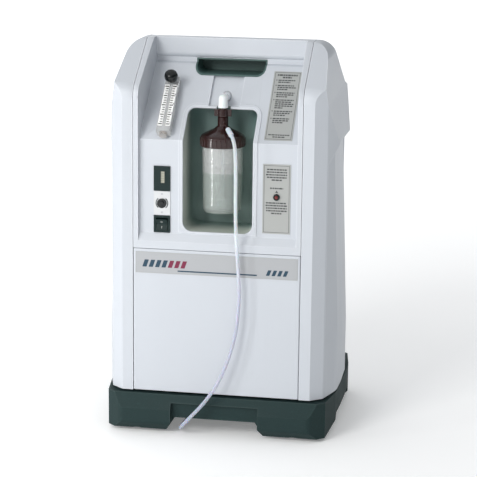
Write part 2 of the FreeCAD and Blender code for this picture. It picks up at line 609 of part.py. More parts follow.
def labels_and_light():
    lower = block("lower_sheet", ("label_low_x", "label_high_x"), ("panel_y - label_thick", "panel_y"),
                  ("label_low_z", "label_high_z"))
    lamp_hole = rod("label_hole", "y", "alarm_radius + 1.6", ("alarm_x", "panel_y - 4", "alarm_z"), "8")
    upper = incline_block("upper_sheet", ("label_low_x", "label_high_x"), ("-label_thick", "0"),
                          ("incline_label_low", "incline_label_high"))
    node("instruction_labels", group("labels", cut("lower_label", lower, lamp_hole), upper))
    lamp = [("0", "0"), ("2.6", "0.6"), ("alarm_radius - 0.6", "2"), ("alarm_radius", "3.4"),
            ("alarm_radius + 1.2", "3.6"), ("alarm_radius + 1.2", "5"), ("alarm_radius - 1.4", "5"),
            ("alarm_radius - 1.4", "14"), ("0", "14")]
    node("alarm_light", turned("alarm_form", lamp, ("alarm_x", "panel_y - 5", "alarm_z"), TO_REAR))


def flowmeter():
    """A clear block with a bored tube, a float, brass ends and a ball-shaped valve knob."""
    body = incline_block("meter_block", ("meter_x - meter_half", "meter_x + meter_half"),
                         ("meter_front", "meter_back"), ("meter_low", "meter_high"))
    up = Vector(0, 1, 1)
    out = Vector(0, -1, 1)
    bore = rod("meter_bore", up, "bore_radius", on_incline("meter_x", "meter_axis", "meter_low - 1"),
               "bore_high - meter_low + 1")
    stem = rod("meter_stem_hole", out, "stem_hole",
               on_incline("meter_x", "meter_front + stem_reach + 1", "knob_up"), "20")
    node("flowmeter_body", cut("meter", body, bore, stem))
    cap = rod("meter_foot_cap", up, "fitting_radius",
              on_incline("meter_x", "meter_axis", "meter_low - fitting_tall"), "fitting_tall")
    plug = rod("meter_foot_plug", up, "bore_radius - 0.15",
               on_incline("meter_x", "meter_axis", "meter_low - 1"),
               "plug_tall")
    head = rod("meter_head", up, "fitting_radius", on_incline("meter_x", "meter_axis", "meter_high"),
               "fitting_tall")
    node("flowmeter_fittings", group("meter_ends", fuse("meter_foot", cap, plug), head))
    node("flow_float", ball("meter_float", "float_radius", on_incline("meter_x", "meter_axis", "float_rest")))
    knob = [("0", "-stem_reach"), ("stem_radius", "-stem_reach"), ("stem_radius", "1"), ("5", "1"),
            ("6", "4"),
            ("knob_radius - 1.6", "6"), ("knob_radius", "10"), ("knob_radius", "15"),
            ("knob_radius - 1.4", "19"),
            ("knob_radius - 5", "22"), ("0", "23.4")]
    node("flow_knob", turned("knob_form", knob, on_incline("meter_x", "meter_front", "knob_up"),
                             Rotation(Vector(0, 0, 1), out)))


# ---------------------------------------------------------------- humidifier

def outlet_and_elbow():
    y = "bottle_y"
    z = "outlet_z"
    foot = "nut_top + 0.8"
    tail = rod("outlet_tail", "y", "outlet_radius", ("0", "outlet_face_y", z),
               "outlet_back_y - outlet_face_y")
    nut = rod("outlet_nut", "y", "outlet_radius + 3", ("0", "outlet_back_y - 8", z), "7")
    way = rod("outlet_way", "y", "elbow_bore", ("0", "outlet_face_y - 2", z), "80")
    node("oxygen_outlet", cut("outlet", fuse("outlet_form", tail, nut), way))
    arm = rod("elbow_arm", "y", "elbow_radius", ("0", y, z), f"outlet_face_y - {y}")
    knee = ball("elbow_knee", "elbow_radius", ("0", y, z))
    leg = rod("elbow_leg", "z", "elbow_radius", ("0", y, foot), f"{z} - ({foot})")
    collar = rod("elbow_collar", "z", "elbow_radius + 0.7", ("0", y, foot), "4")
    bore = fuse("elbow_bores", rod("elbow_bore_in", "y", "elbow_bore", ("0", y, z), "40"),
                rod("elbow_bore_down", "z", "elbow_bore", ("0", y, "nut_top - 2"), f"{z} - nut_top + 2"))
    node("humidifier_elbow", cut("elbow", fuse("elbow_form", arm, knee, leg, collar), bore))


def wing_nut():
    y = "bottle_y"
    hub = [("spindle_fit", "nut_low"), ("nut_radius - 1", "nut_low"), ("nut_radius", "nut_low + 1.5"),
           ("nut_radius - 1", "nut_top - 1.5"), ("nut_radius - 2.5", "nut_top"), ("spindle_fit", "nut_top")]
    wing = block("nut_wing", ("-wing_half", "wing_half"), across(y, "wing_thick"),
                 ("nut_low + 1.5", "nut_top - 2"))
    bore = rod("nut_bore", "z", "spindle_fit", ("0", y, "nut_low - 2"), "30")
    body = fuse("nut_form", turned("nut_hub", hub, ("0", y, "0")), wing)
    node("wing_nut", cut("nut", body, bore))


def humidifier_lid():
    y = "bottle_y"
    top = "nut_low - 0.3"
    outline = [("lid_inner", "lid_low"), ("lid_radius", "lid_low"), ("lid_radius", "lid_edge"),
               ("lid_radius - 2", "lid_edge + 3"), ("30", "lid_roof + 2"), ("16", "neck_low - 1"),
               ("neck_radius", "neck_low + 4"), ("neck_radius", top), ("spindle", top),
               ("spindle", "nut_top"),
               ("spindle_bore", "nut_top"), ("spindle_bore", "lid_ceiling"), ("lid_inner", "lid_ceiling")]
    nipple = rod("lid_nipple", Vector(*CUFF_START) - Vector(*NIPPLE_START), "nipple_radius", NIPPLE_START,
                 "36")
    ribs = []
    for index in range(DIMS["rib_count"]):
        angle = f"{index} * 360 / rib_count"
        foot = (f"lid_radius * cos({angle})", f"{y} + lid_radius * sin({angle})", "lid_low + 1.5")
        ribs.append(rod(f"lid_rib_{index}", "z", "rib_radius", foot, "lid_edge - lid_low - 3"))
    shell = turned("lid_form", outline, ("0", y, "0"))
    passage = rod("lid_passage", "z", "spindle_bore", ("0", y, "lid_ceiling - 1"), "60")
    node("humidifier_lid", cut("lid", fuse("lid_whole", shell, nipple, *ribs), passage))
    ring = [("gasket_inner", "jar_rim"), ("lid_inner - 0.3", "jar_rim"), ("lid_inner - 0.3", "lid_ceiling"),
            ("gasket_inner", "lid_ceiling")]
    node("lid_gasket", turned("gasket_form", ring, ("0", y, "0")))


def humidifier_jar():
    """The clear jar, a little narrower at its foot, with its water and its diffuser tube."""
    y = "bottle_y"
    foot = "(jar_radius - jar_taper)"
    jar = [("0", "jar_low + 3"), (f"{foot} - 8", "jar_low + 3"), (f"{foot} - 6", "jar_low"),
           (f"{foot} - 3", "jar_low"),
           (foot, "jar_low + 5"), ("jar_radius", "jar_rim"), ("jar_radius - jar_wall", "jar_rim"),
           (f"{foot} - jar_wall", "jar_floor + 3"), (f"{foot} - jar_wall - 3", "jar_floor"),
           ("0", "jar_floor")]
    node("humidifier_jar", turned("jar_form", jar, ("0", y, "0")))
    low_reach = f"({foot} - jar_wall - water_gap)"
    slope = "jar_taper / (jar_rim - jar_floor - 3)"
    water = [("water_hole", "jar_floor + 0.1"), (f"{low_reach} - 3", "jar_floor + 0.1"),
             (low_reach, "jar_floor + 3.1"),
             (f"{low_reach} + (water_z - jar_floor - 3.1) * {slope}", "water_z"),
             ("water_hole", "water_z")]
    node("humidifier_water", turned("water_form", water, ("0", y, "0")))
    dip = [("0", "stone_low"), ("stone_radius - 1", "stone_low"), ("stone_radius", "stone_low + 1"),
           ("stone_radius", "dip_low - 1"), ("dip_radius", "dip_low"), ("dip_radius", "lid_ceiling + 8"),
           ("0", "lid_ceiling + 8")]
    node("diffuser_tube", turned("dip_form", dip, ("0", y, "0")))


def supply_tube():
    """The clear tube to the user, its cuff, the stored coil and the soft end connector."""
    start = Vector(*CUFF_START)
    reach = Vector(*TUBE_ROUTE[0]) - start
    sleeve = rod("cuff_sleeve", reach, "cuff_radius", CUFF_START, str(reach.Length))
    inside = rod("cuff_inside", reach, "nipple_radius + 0.1", CUFF_START, str(reach.Length * 0.7))
    node("tube_cuff", cut("cuff", sleeve, inside))
    lead = Vector(*CONNECTOR_START) - Vector(*COIL_END)
    end = rod("tube_lead", lead, "tube_radius", COIL_END, str(lead.Length))
    node("supply_tube", group("tube_runs", tube_along("tube", TUBE_ROUTE, DIMS["tube_radius"]), end))
    inner = "(coil_mid - coil_half_wide)"
    outer_edge = "(coil_mid + coil_half_wide)"
    ring = [(f"{inner} + 3", "0.1"), (f"{outer_edge} - 3", "0.1"), (outer_edge, "3"),
            (outer_edge, "coil_tall - 3"), (f"{outer_edge} - 3", "coil_tall"),
            (f"{inner} + 3", "coil_tall"), (inner, "coil_tall - 3"), (inner, "3")]
    node("tube_coil", turned("coil_form", ring, ("coil_x", "coil_y", "0")))
    plug = [("0", "0"), ("3.4", "0"), ("plug_radius", "6"), ("plug_radius", "plug_long"),
            ("socket_radius", "plug_long"), ("socket_radius", "plug_long - socket_deep"),
            ("0", "plug_long - socket_deep")]
    node("tube_connector", turned("plug_form", plug, CONNECTOR_START,
                                  Rotation(Vector(0, 0, 1), CONNECTOR_HEADING)))


# ---------------------------------------------------------------- base

def base_outline():
    right = [("foot_chamfer_x", "-base_half_d"), ("foot_chamfer_x + foot_cut", "-foot_chamfer_y"),
             ("base_half_w - 2", "-foot_inner_y"), ("base_half_w", "-belly_y"), ("base_half_w", "belly_y"),
             ("base_half_w - 2", "foot_inner_y"), ("foot_chamfer_x + foot_cut", "foot_chamfer_y"),
             ("foot_chamfer_x", "base_half_d")]
    return mirrored(right)


def arched(half, lip, inner_edge, arch):
    """One elevation of the base: two feet with a low arch between them."""
    right = [(arch, "apron_z"), (inner_edge, "foot_z"), (f"{half} - 12", "foot_z"), (half, "foot_z + 14"),
             (half, "break_z"), (f"{half} - {lip}", "base_top")]
    return mirrored(right)


def caster_points():
    for tag, sx, sy in (("front_left", -1, -1), ("front_right", 1, -1), ("rear_left", -1, 1),
                        ("rear_right", 1, 1)):
        yield tag, f"{sx} * caster_x", f"{sy} * caster_y"


def base_tray():
    plan = prism("base_plan", "plan", base_outline(), "foot_z - 1", "base_top + 1",
                 [("facet_round * 3", [0, 7, 8, 15])])
    front = prism("base_front", "front", arched("base_half_w", "1", "foot_inner_x", "arch_x"),
                  "-base_half_d - 2",
                  "base_half_d + 2", [("10", [3, 8])])
    side = prism("base_side", "side", arched("base_half_d", "base_lip * 2", "foot_inner_y", "arch_y"),
                 "-base_half_w - 2", "base_half_w + 2", [("10", [3, 8])])
    block_form = common("base_form", plan, front, side)
    ends = (("front", "-base_half_d - 4", "apron_set - base_half_d"),
            ("rear", "base_half_d - apron_set", "base_half_d + 4"))
    tools = [block(f"apron_{tag}", ("-arch_x - 6", "arch_x + 6"), (low, high), ("foot_z", "break_z + 12"))
             for tag, low, high in ends]
    hollow = ("tray_floor", "base_top + 2")
    tools.append(block("tray_wide", ("-tray_long_x", "tray_long_x"), ("-tray_half_y", "tray_half_y"), hollow))
    tools.append(block("tray_long", ("-tray_half_x", "tray_half_x"), ("-tray_long_y", "tray_long_y"), hollow))
    for tag, x, y in caster_points():
        tools.append(rod(f"caster_well_{tag}", "z", "caster_well", (x, y, "0"), "caster_roof"))
        tools.append(rod(f"caster_socket_{tag}", "z", "stem_socket", (x, y, "caster_roof - 1"),
                         "stem_top - caster_roof + 1.5"))
    node("base_tray", cut("base", block_form, *tools))


def caster(tag, x, y):
    """A twin-plate swivel fork on a stem, and its wheel trailing behind the stem."""
    top = "fork_top"
    wheel_y = f"{y} + trail"
    disc = rod(f"fork_disc_{tag}", "z", "swivel_radius", (x, y, f"{top} - fork_plate"), "fork_plate + 4")
    stem = rod(f"fork_stem_{tag}", "z", "stem_pin", (x, y, top), f"stem_top - {top}")
    outline = [(f"{y} - 8", top), (f"{y} - 8", f"{top} - 6"), (f"{wheel_y} - 6", "wheel_radius - 5"),
               (f"{wheel_y} + 6", "wheel_radius - 5"), (f"{wheel_y} + 6", "wheel_radius + 6"),
               (f"{y} + 12", top)]
    sides = (("a", "fork_half - fork_plate", "fork_half"), ("b", "-fork_half", "fork_plate - fork_half"))
    cheeks = [prism(f"fork_cheek_{tag}_{side}", "side", outline, f"{x} + {low}", f"{x} + {high}")
              for side, low, high in sides]
    axle = rod(f"fork_axle_{tag}", "x", "axle_radius", (f"{x} - fork_half", wheel_y, "wheel_radius"),
               "2 * fork_half")
    roof = block(f"fork_roof_{tag}", (f"{x} - fork_half", f"{x} + fork_half"), (f"{y} - 8", f"{y} + 12"),
                 (f"{top} - 3", top))
    node(f"caster_fork_{tag}", fuse(f"fork_{tag}", disc, stem, roof, axle, *cheeks))
    right = [("axle_hole", "-wheel_half - 0.6"), ("wheel_hub", "-wheel_half - 0.6"),
             ("wheel_hub", "-wheel_half + 2"),
             ("wheel_radius - 5", "-wheel_half + 2"), ("wheel_radius - 4", "-wheel_half"),
             ("wheel_radius - 1.5", "-wheel_half"), ("wheel_radius", "-wheel_half + 2")]
    wheel = right + [(r, f"-({z})") for r, z in reversed(right)]
    node(f"caster_wheel_{tag}", turned(f"wheel_{tag}", wheel, (x, wheel_y, "wheel_radius"),
                                       Rotation(Vector(0, 1, 0), 90)))


# ---------------------------------------------------------------- rear

def rear_panel():
    half = "seam_half - seam_gap / 2"
    region = block("rear_region", (f"-({half})", half), ("back_ridge_y + 0.4", "half_depth + 2"),
                   ("cabinet_z", "top_z + 4"))
    skin_part = cut("rear_skin", common("rear_stock", outer, region), envelope("rear_inner", "skin", "skin"))
    through = ("half_depth - 30", "half_depth + 4")
    tools = [block("filter_opening", ("-filter_half", "filter_half"), through, ("filter_low", "filter_high")),
             block("inlet_opening", across("inlet_x", "inlet_wide - 6"), through,
                   across("inlet_z", "inlet_tall - 6"))]
    for index in range(DIMS["louvre_count"]):
        low = f"louvre_low + {index} * louvre_pitch"
        tools.append(block(f"louvre_{index}", ("-louvre_half", "louvre_half"), through,
                           (low, f"{low} + louvre_tall")))
    for index, (x, z) in enumerate(screw_points()):
        tools.append(rod(f"screw_hole_{index}", "y", "screw_hole", (x, "half_depth - 30", z), "40"))
    node("rear_panel", cut("rear", skin_part, *tools))


def screw_points():
    heights = ("cabinet_z + 20", "cabinet_z + 240", "tail_z - 50")
    return [(f"{side} * (seam_half - 10)", z) for side in (-1, 1) for z in heights]


def rear_screws():
    screws = []
    face = "half_depth + screw_rise"
    for index, (x, z) in enumerate(screw_points()):
        outline = [("0", "-screw_long"), ("screw_shank", "-screw_long"), ("screw_shank", "0"),
                   ("screw_head", "0"),
                   ("screw_head - 0.6", "1.6"), ("screw_head - 2", "screw_rise"), ("0", "screw_rise")]
        form = turned(f"screw_{index}", outline, (x, "half_depth", z), TO_REAR)
        depth = (f"{face} - cross_deep", f"{face} + 1")
        cross = [block(f"cross_flat_{index}", across(x, "cross_long"), depth, across(z, "cross_wide")),
                 block(f"cross_tall_{index}", across(x, "cross_wide"), depth, across(z, "cross_long"))]
        screws.append(cut(f"screw_cut_{index}", form, *cross))
    node("panel_screws", group("screws", *screws))


def intake_grille():
    """The slotted frame behind the rear opening and the foam filter that pulls out of it."""
    seat_y = "half_depth - skin - filter_thick"
    inner_y = f"{seat_y} - 5"
    frame = block("grille_frame", ("-filter_half - frame_rim", "filter_half + frame_rim"),
                  (inner_y, "half_depth - skin"), ("filter_low - frame_rim", "filter_high + frame_rim"))
    seat = block("grille_seat", ("-filter_half", "filter_half"), (seat_y, "half_depth + 1"),
                 ("filter_low", "filter_high"))
    slots = []
    for index in range(DIMS["slot_count"]):
        low = f"-filter_half + 6 + {index} * slot_pitch"
        slots.append(block(f"grille_slot_{index}", (low, f"{low} + slot_wide"),
                           (f"{inner_y} - 2", "half_depth"),
                           ("filter_low + 8", "filter_high - 8")))
    node("filter_grille", cut("grille", frame, seat, *slots))
    node("cabinet_filter", block("filter_foam", ("-filter_half + 0.4", "filter_half - 0.4"),
                                 (f"{seat_y} + 0.2", "half_depth - 1"),
                                 ("filter_low + 0.4", "filter_high - 0.4")))


def power_inlet():
    flange = block("inlet_flange", across("inlet_x", "inlet_wide"), ("half_depth", "half_depth + 2"),
                   across("inlet_z", "inlet_tall"))
    body = block("inlet_body", across("inlet_x", "inlet_wide - 2 * inlet_step"),
                 ("half_depth - inlet_deep", "half_depth + 1"),
                 across("inlet_z", "inlet_tall - 2 * inlet_step"))
    cavity = block("inlet_cavity", across("inlet_x", "inlet_cavity_wide"),
                   ("half_depth - inlet_cavity_deep", "half_depth + 4"),
                   across("inlet_z", "inlet_cavity_tall"))
    pins = []
    for index, (dx, dz) in enumerate(((-7, -2), (0, 3), (7, -2))):
        pins.append(block(f"inlet_pin_{index}", across(f"inlet_x + {dx}", "2"),
                          ("half_depth - inlet_cavity_deep - 2", "half_depth - 3"),
                          across(f"inlet_z + {dz}", "4")))
    node("power_inlet", fuse("inlet", cut("inlet_shell", fuse("inlet_form", flange, body), cavity), *pins))


# ---------------------------------------------------------------- inside

def compressor():
    """Chassis plate, motor and crank case on rubber mounts, and a finned head at each end."""
    plate = block("chassis_sheet", ("-chassis_half_x", "chassis_half_x"),
                  ("-chassis_half_y", "chassis_half_y"),
                  ("chassis_z", "chassis_z + chassis_thick"))
    node("chassis_plate", plate)
    saddle_low = "pump_z - motor_radius - saddle_drop"
    motor = rod("pump_motor", "x", "motor_radius", ("-motor_half", "pump_y", "pump_z"), "2 * motor_half")
    saddle = block("pump_saddle", ("-mount_x - mount_radius", "mount_x + mount_radius"),
                   ("pump_y - mount_y - 12", "pump_y + mount_y + 12"), (saddle_low, "pump_z - 30"))
    node("compressor_body", fuse("pump", motor, saddle))
    node("compressor_heads", group("heads", pump_head("left", "-motor_half - head_thick"),
                                   pump_head("right", "motor_half")))
    low = "chassis_z + chassis_thick"
    mounts = [rod(f"mount_{sx}_{sy}", "z", "mount_radius",
                  (f"{sx} * mount_x", f"pump_y + {sy} * mount_y", low),
                  f"{saddle_low} - ({low})") for sx in (-1, 1) for sy in (-1, 1)]
    node("isolation_mounts", group("mounts", *mounts))


def pump_head(tag, low):
    form = rod(f"head_{tag}", "x", "head_radius", (low, "pump_y", "pump_z"), "head_thick")
    slots = []
    for index in range(4):
        at = (f"{low} + 6 + {index} * fin_pitch", "pump_y", "pump_z")
        disc = rod(f"fin_out_{tag}_{index}", "x", "head_radius + 1", at, "fin_slot")
        slots.append(cut(f"head_fin_{tag}_{index}", disc,
                         rod(f"fin_in_{tag}_{index}", "x", "head_radius - fin_deep", at, "fin_slot")))
    return cut(f"head_finned_{tag}", form, *slots)


def cooling_fan():
    low = "fan_z"
    frame = block("fan_block", ("-fan_half", "fan_half"), ("pump_y - fan_half", "pump_y + fan_half"),
                  (low, f"{low} + fan_tall"))
    bore = rod("fan_bore_tool", "z", "fan_bore", ("0", "pump_y", f"{low} - 1"), "fan_tall + 2")
    struts = [block("fan_strut_across", ("-fan_half", "fan_half"), across("pump_y", "6"),
                    (low, f"{low} + 3")),
              block("fan_strut_along", ("-3", "3"), ("pump_y - fan_half", "pump_y + fan_half"),
                    (low, f"{low} + 3"))]
    pin = rod("fan_pin_rod", "z", "fan_pin", ("0", "pump_y", low), "20")
    node("fan_frame", fuse("fan_case", cut("fan_ring", frame, bore), *struts, pin))
    hub = rod("fan_hub_form", "z", "fan_hub", ("0", "pump_y", f"{low} + 4.5"), "fan_tall - 6")
    blades = []
    for index in range(DIMS["fan_blades"]):
        blade = doc.addObject("Part::Box", f"fan_blade_{index}")
        for prop, size in (("Length", "fan_bore - 5"), ("Width", "blade_thick"), ("Height", "fan_tall - 10")):
            bind(blade, prop, size)
        angle = FULL_TURN * index / DIMS["fan_blades"]
        turn = Rotation(Vector(0, 0, 1), angle) * Rotation(Vector(1, 0, 0), DIMS["blade_pitch"])
        blades.append(place(blade, ("0", "pump_y", f"{low} + 7"), turn))
    hole = rod("fan_hole", "z", "fan_pin_hole", ("0", "pump_y", low), "40")
    node("fan_rotor", cut("fan_wheel", fuse("fan_parts", hub, *blades), hole))


def can(name, x, y, radius, low, high):
    """An upright canister with domed ends."""
    outline = [("0", low), (f"{radius} - 8", low), (radius, f"{low} + 6"), (radius, f"{high} - 6"),
               (f"{radius} - 8", high), ("0", high)]
    return turned(name, outline, (x, y, "0"))


def gas_system():
    floor = "chassis_z + chassis_thick"
    node("sieve_beds", group("beds", can("bed_left", "-bed_x", "bed_y", "bed_radius", "bed_low", "bed_high"),
                             can("bed_right", "bed_x", "bed_y", "bed_radius", "bed_low", "bed_high")))
    node("product_tank", can("tank", "0", "tank_y", "tank_radius", "coil_z + 12", "tank_high"))
    manifold = block("manifold", ("-bed_x - valve_over", "bed_x + valve_over"),
                     ("bed_y - valve_half_y", "bed_y + valve_half_y"),
                     ("bed_high", "valve_high - solenoid_tall"))
    coils = [rod(f"solenoid_{index}", "z", "solenoid_radius", (x, "bed_y", "valve_high - solenoid_tall"),
                 "solenoid_tall - 1") for index, x in enumerate(("-60", "-20", "20", "60"))]
    node("valve_manifold", fuse("valves", manifold, *coils))
    node("exhaust_muffler", can("muffler", "muffler_x", "muffler_y", "muffler_radius", floor, "muffler_high"))
    node("intake_filter", can("intake", "intake_x", "intake_y", "intake_radius", "intake_low", "intake_high"))
    half = DIMS["coil_half"]
    z = DIMS["coil_z"]
    points = []
    for index in range(DIMS["coil_rows"]):
        y = DIMS["pump_y"] + (index - 2) * DIMS["coil_pitch"]
        side = 1 if index % 2 else -1
        points += [(side * half, y, z), (-side * half, y, z)]
    node("cooling_coil", tube_along("coil_pipe", points, DIMS["pipe_radius"]))


def electrics():
    face = "board_x + board_thick"
    board = block("board_sheet", ("board_x", face), ("-board_half_y", "board_half_y"),
                  ("board_low", "board_high"))
    chips = []
    for index, (y, z) in enumerate(((-50, 14), (-10, 20), (26, 80), (-44, 84))):
        chips.append(block(f"chip_{index}", (f"{face} - 0.2", f"{face} + 12"), (str(y), f"{y} + 22"),
                           (f"board_low + {z}", f"board_low + {z} + 26")))
    node("control_board", fuse("board", board, *chips))
    node("run_capacitor", can("capacitor", "can_x", "can_y", "can_radius", "chassis_z + chassis_thick",
                              "can_high"))


# ---------------------------------------------------------------- assembly

for hand in (-1, 1):
    side_shell(hand)
front_upper_panel()
humidifier_well()
grip_pocket()
front_door()
hour_meter()
circuit_breaker()
power_switch()
labels_and_light()
flowmeter()
outlet_and_elbow()
wing_nut()
humidifier_lid()
humidifier_jar()
supply_tube()
base_tray()
for place_name, stem_x, stem_y in caster_points():
    caster(place_name, stem_x, stem_y)
rear_panel()
rear_screws()
intake_grille()
power_inlet()
compressor()
cooling_fan()
gas_system()
electrics()
doc.recompute()

for item in doc.Objects:
    if "Invalid" in item.State or "Error" in item.State:
        raise RuntimeError(f"{item.Label} did not compute")
for name, part in NODES.items():
    if part.Shape.isNull() or not part.Shape.isValid() or not part.Shape.Solids:
        raise RuntimeError(f"{name} has no valid solid")

os.makedirs("parts", exist_ok=True)
for name, part in NODES.items():
    part.Shape.exportStep(f"parts/{name}.step")
print(f"{len(NODES)} sub-parts written")
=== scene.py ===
"""Looks of the oxygen concentrator: materials, printed and moulded detail, and the supply tube.

Everything is in metres in the part's own frame: +Z up, the control panel faces -Y.
"""
import math
import random

import bmesh
import bpy
from mathutils import Matrix, Vector


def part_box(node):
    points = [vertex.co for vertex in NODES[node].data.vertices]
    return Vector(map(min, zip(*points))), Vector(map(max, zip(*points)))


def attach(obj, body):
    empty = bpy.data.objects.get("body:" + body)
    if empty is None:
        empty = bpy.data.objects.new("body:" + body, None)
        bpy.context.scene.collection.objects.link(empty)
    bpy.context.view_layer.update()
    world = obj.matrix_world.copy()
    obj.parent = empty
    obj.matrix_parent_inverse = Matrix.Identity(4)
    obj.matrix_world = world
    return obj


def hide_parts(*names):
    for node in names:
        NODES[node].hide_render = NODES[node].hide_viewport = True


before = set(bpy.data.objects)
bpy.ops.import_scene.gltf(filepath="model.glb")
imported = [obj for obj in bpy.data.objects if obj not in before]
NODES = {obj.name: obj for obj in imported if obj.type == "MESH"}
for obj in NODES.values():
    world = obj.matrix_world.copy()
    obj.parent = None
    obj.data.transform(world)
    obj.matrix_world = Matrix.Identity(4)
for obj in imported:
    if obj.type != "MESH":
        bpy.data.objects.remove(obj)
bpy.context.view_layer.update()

RANDOM = random.Random(11)

# ---------------------------------------------------------------- camera, light and floor

VIEW_AZIMUTH = math.radians(10.27)
VIEW_ELEVATION = math.radians(12.66)
VIEW_DISTANCE = 3.295
VIEW_ROLL = math.radians(0.61)
VIEW_TARGET = Vector((0.0091, 0.0, 0.3258))
LENS = 134.7
SENSOR_WIDTH = 36
SKY_LEFT = (0.97, 0.985, 1.0, 1)
SKY_RIGHT = (0.04, 0.055, 0.06, 1)
SKY_DARKENS = (("X", -0.35, 0.85), ("Z", 0.85, 0.30))
SKY_STRENGTH = 0.72
LIGHT_AIM = Vector((0, 0, 0.38))
KEY_COLOUR = (1, 0.99, 0.97)
FLOOR_REACH = 60
FLOOR_PALE = (0.93, 0.93, 0.93)
FLOOR_COOL = (0.90, 0.905, 0.91)
GLOW_NEAR = 0.6
GLOW_FAR = 5.0
GLOW_LEAST = 0.20
GLOW_MOST = 0.66


def add_camera():
    data = bpy.data.cameras.new("camera")
    data.lens = LENS
    data.sensor_width = SENSOR_WIDTH
    camera = bpy.data.objects.new("camera", data)
    bpy.context.scene.collection.objects.link(camera)
    level = math.cos(VIEW_ELEVATION)
    back = Vector((math.sin(VIEW_AZIMUTH) * level, -math.cos(VIEW_AZIMUTH) * level, math.sin(VIEW_ELEVATION)))
    right = Vector((math.cos(VIEW_AZIMUTH), math.sin(VIEW_AZIMUTH), 0))
    up = back.cross(right)
    turn = Matrix((right, up, back)).transposed() @ Matrix.Rotation(VIEW_ROLL, 3, "Z")
    camera.matrix_world = Matrix.Translation(VIEW_TARGET + back * VIEW_DISTANCE) @ turn.to_4x4()
    bpy.context.scene.camera = camera


def area_light(name, at, size, power, colour=(1, 1, 1), tall=None):
    """A soft light aimed at the middle of the object, square unless a height is given."""
    data = bpy.data.lights.new(name, "AREA")
    data.size = size
    if tall:
        data.shape = "RECTANGLE"
        data.size_y = tall
    data.energy = power
    data.color = colour
    lamp = bpy.data.objects.new(name, data)
    lamp.visible_camera = False
    lamp.location = at
    lamp.rotation_euler = (LIGHT_AIM - Vector(at)).to_track_quat("-Z", "Y").to_euler()
    bpy.context.scene.collection.objects.link(lamp)


def add_studio():
    """A white surround that darkens low down on the right, a key and a rear light, and a low strip light."""
    world = bpy.data.worlds.new("studio")
    world.use_nodes = True
    nodes = world.node_tree.nodes
    links = world.node_tree.links
    split = nodes.new("ShaderNodeSeparateXYZ")
    links.new(nodes.new("ShaderNodeTexCoord").outputs["Generated"], split.inputs[0])
    darkness = nodes.new("ShaderNodeMath")
    darkness.operation = "MULTIPLY"
    for index, (axis, start, end) in enumerate(SKY_DARKENS):
        ramp = nodes.new("ShaderNodeMapRange")
        ramp.interpolation_type = "SMOOTHSTEP"
        ramp.inputs["From Min"].default_value = start
        ramp.inputs["From Max"].default_value = end
        links.new(split.outputs[axis], ramp.inputs["Value"])
        links.new(ramp.outputs["Result"], darkness.inputs[index])
    tint = nodes.new("ShaderNodeMix")
    tint.data_type = "RGBA"
    tint.inputs[6].default_value = SKY_LEFT
    tint.inputs[7].default_value = SKY_RIGHT
    links.new(darkness.outputs[0], tint.inputs["Factor"])
    links.new(tint.outputs[2], nodes["Background"].inputs["Color"])
    nodes["Background"].inputs["Strength"].default_value = SKY_STRENGTH
    bpy.context.scene.world = world
    bpy.context.scene.view_settings.view_transform = "Standard"
    area_light("key", (-1.3, -2.8, 1.9), 1.2, 51, KEY_COLOUR)
    area_light("rear", (-1.6, 2.6, 1.6), 2.0, 14)
    area_light("strip", (-0.80, -0.76, 0.24), 0.05, 2.2, tall=0.52)


def add_floor():
    far = FLOOR_REACH
    mesh = bpy.data.meshes.new("floor")
    corners = [(-far, -far, 0), (far, -far, 0), (far, far, 0), (-far, far, 0)]
    mesh.from_pydata(corners, [], [(0, 1, 2, 3)])
    floor = bpy.data.objects.new("floor", mesh)
    bpy.context.scene.collection.objects.link(floor)
    floor.data.materials.append(plain_floor())


# ---------------------------------------------------------------- material helpers

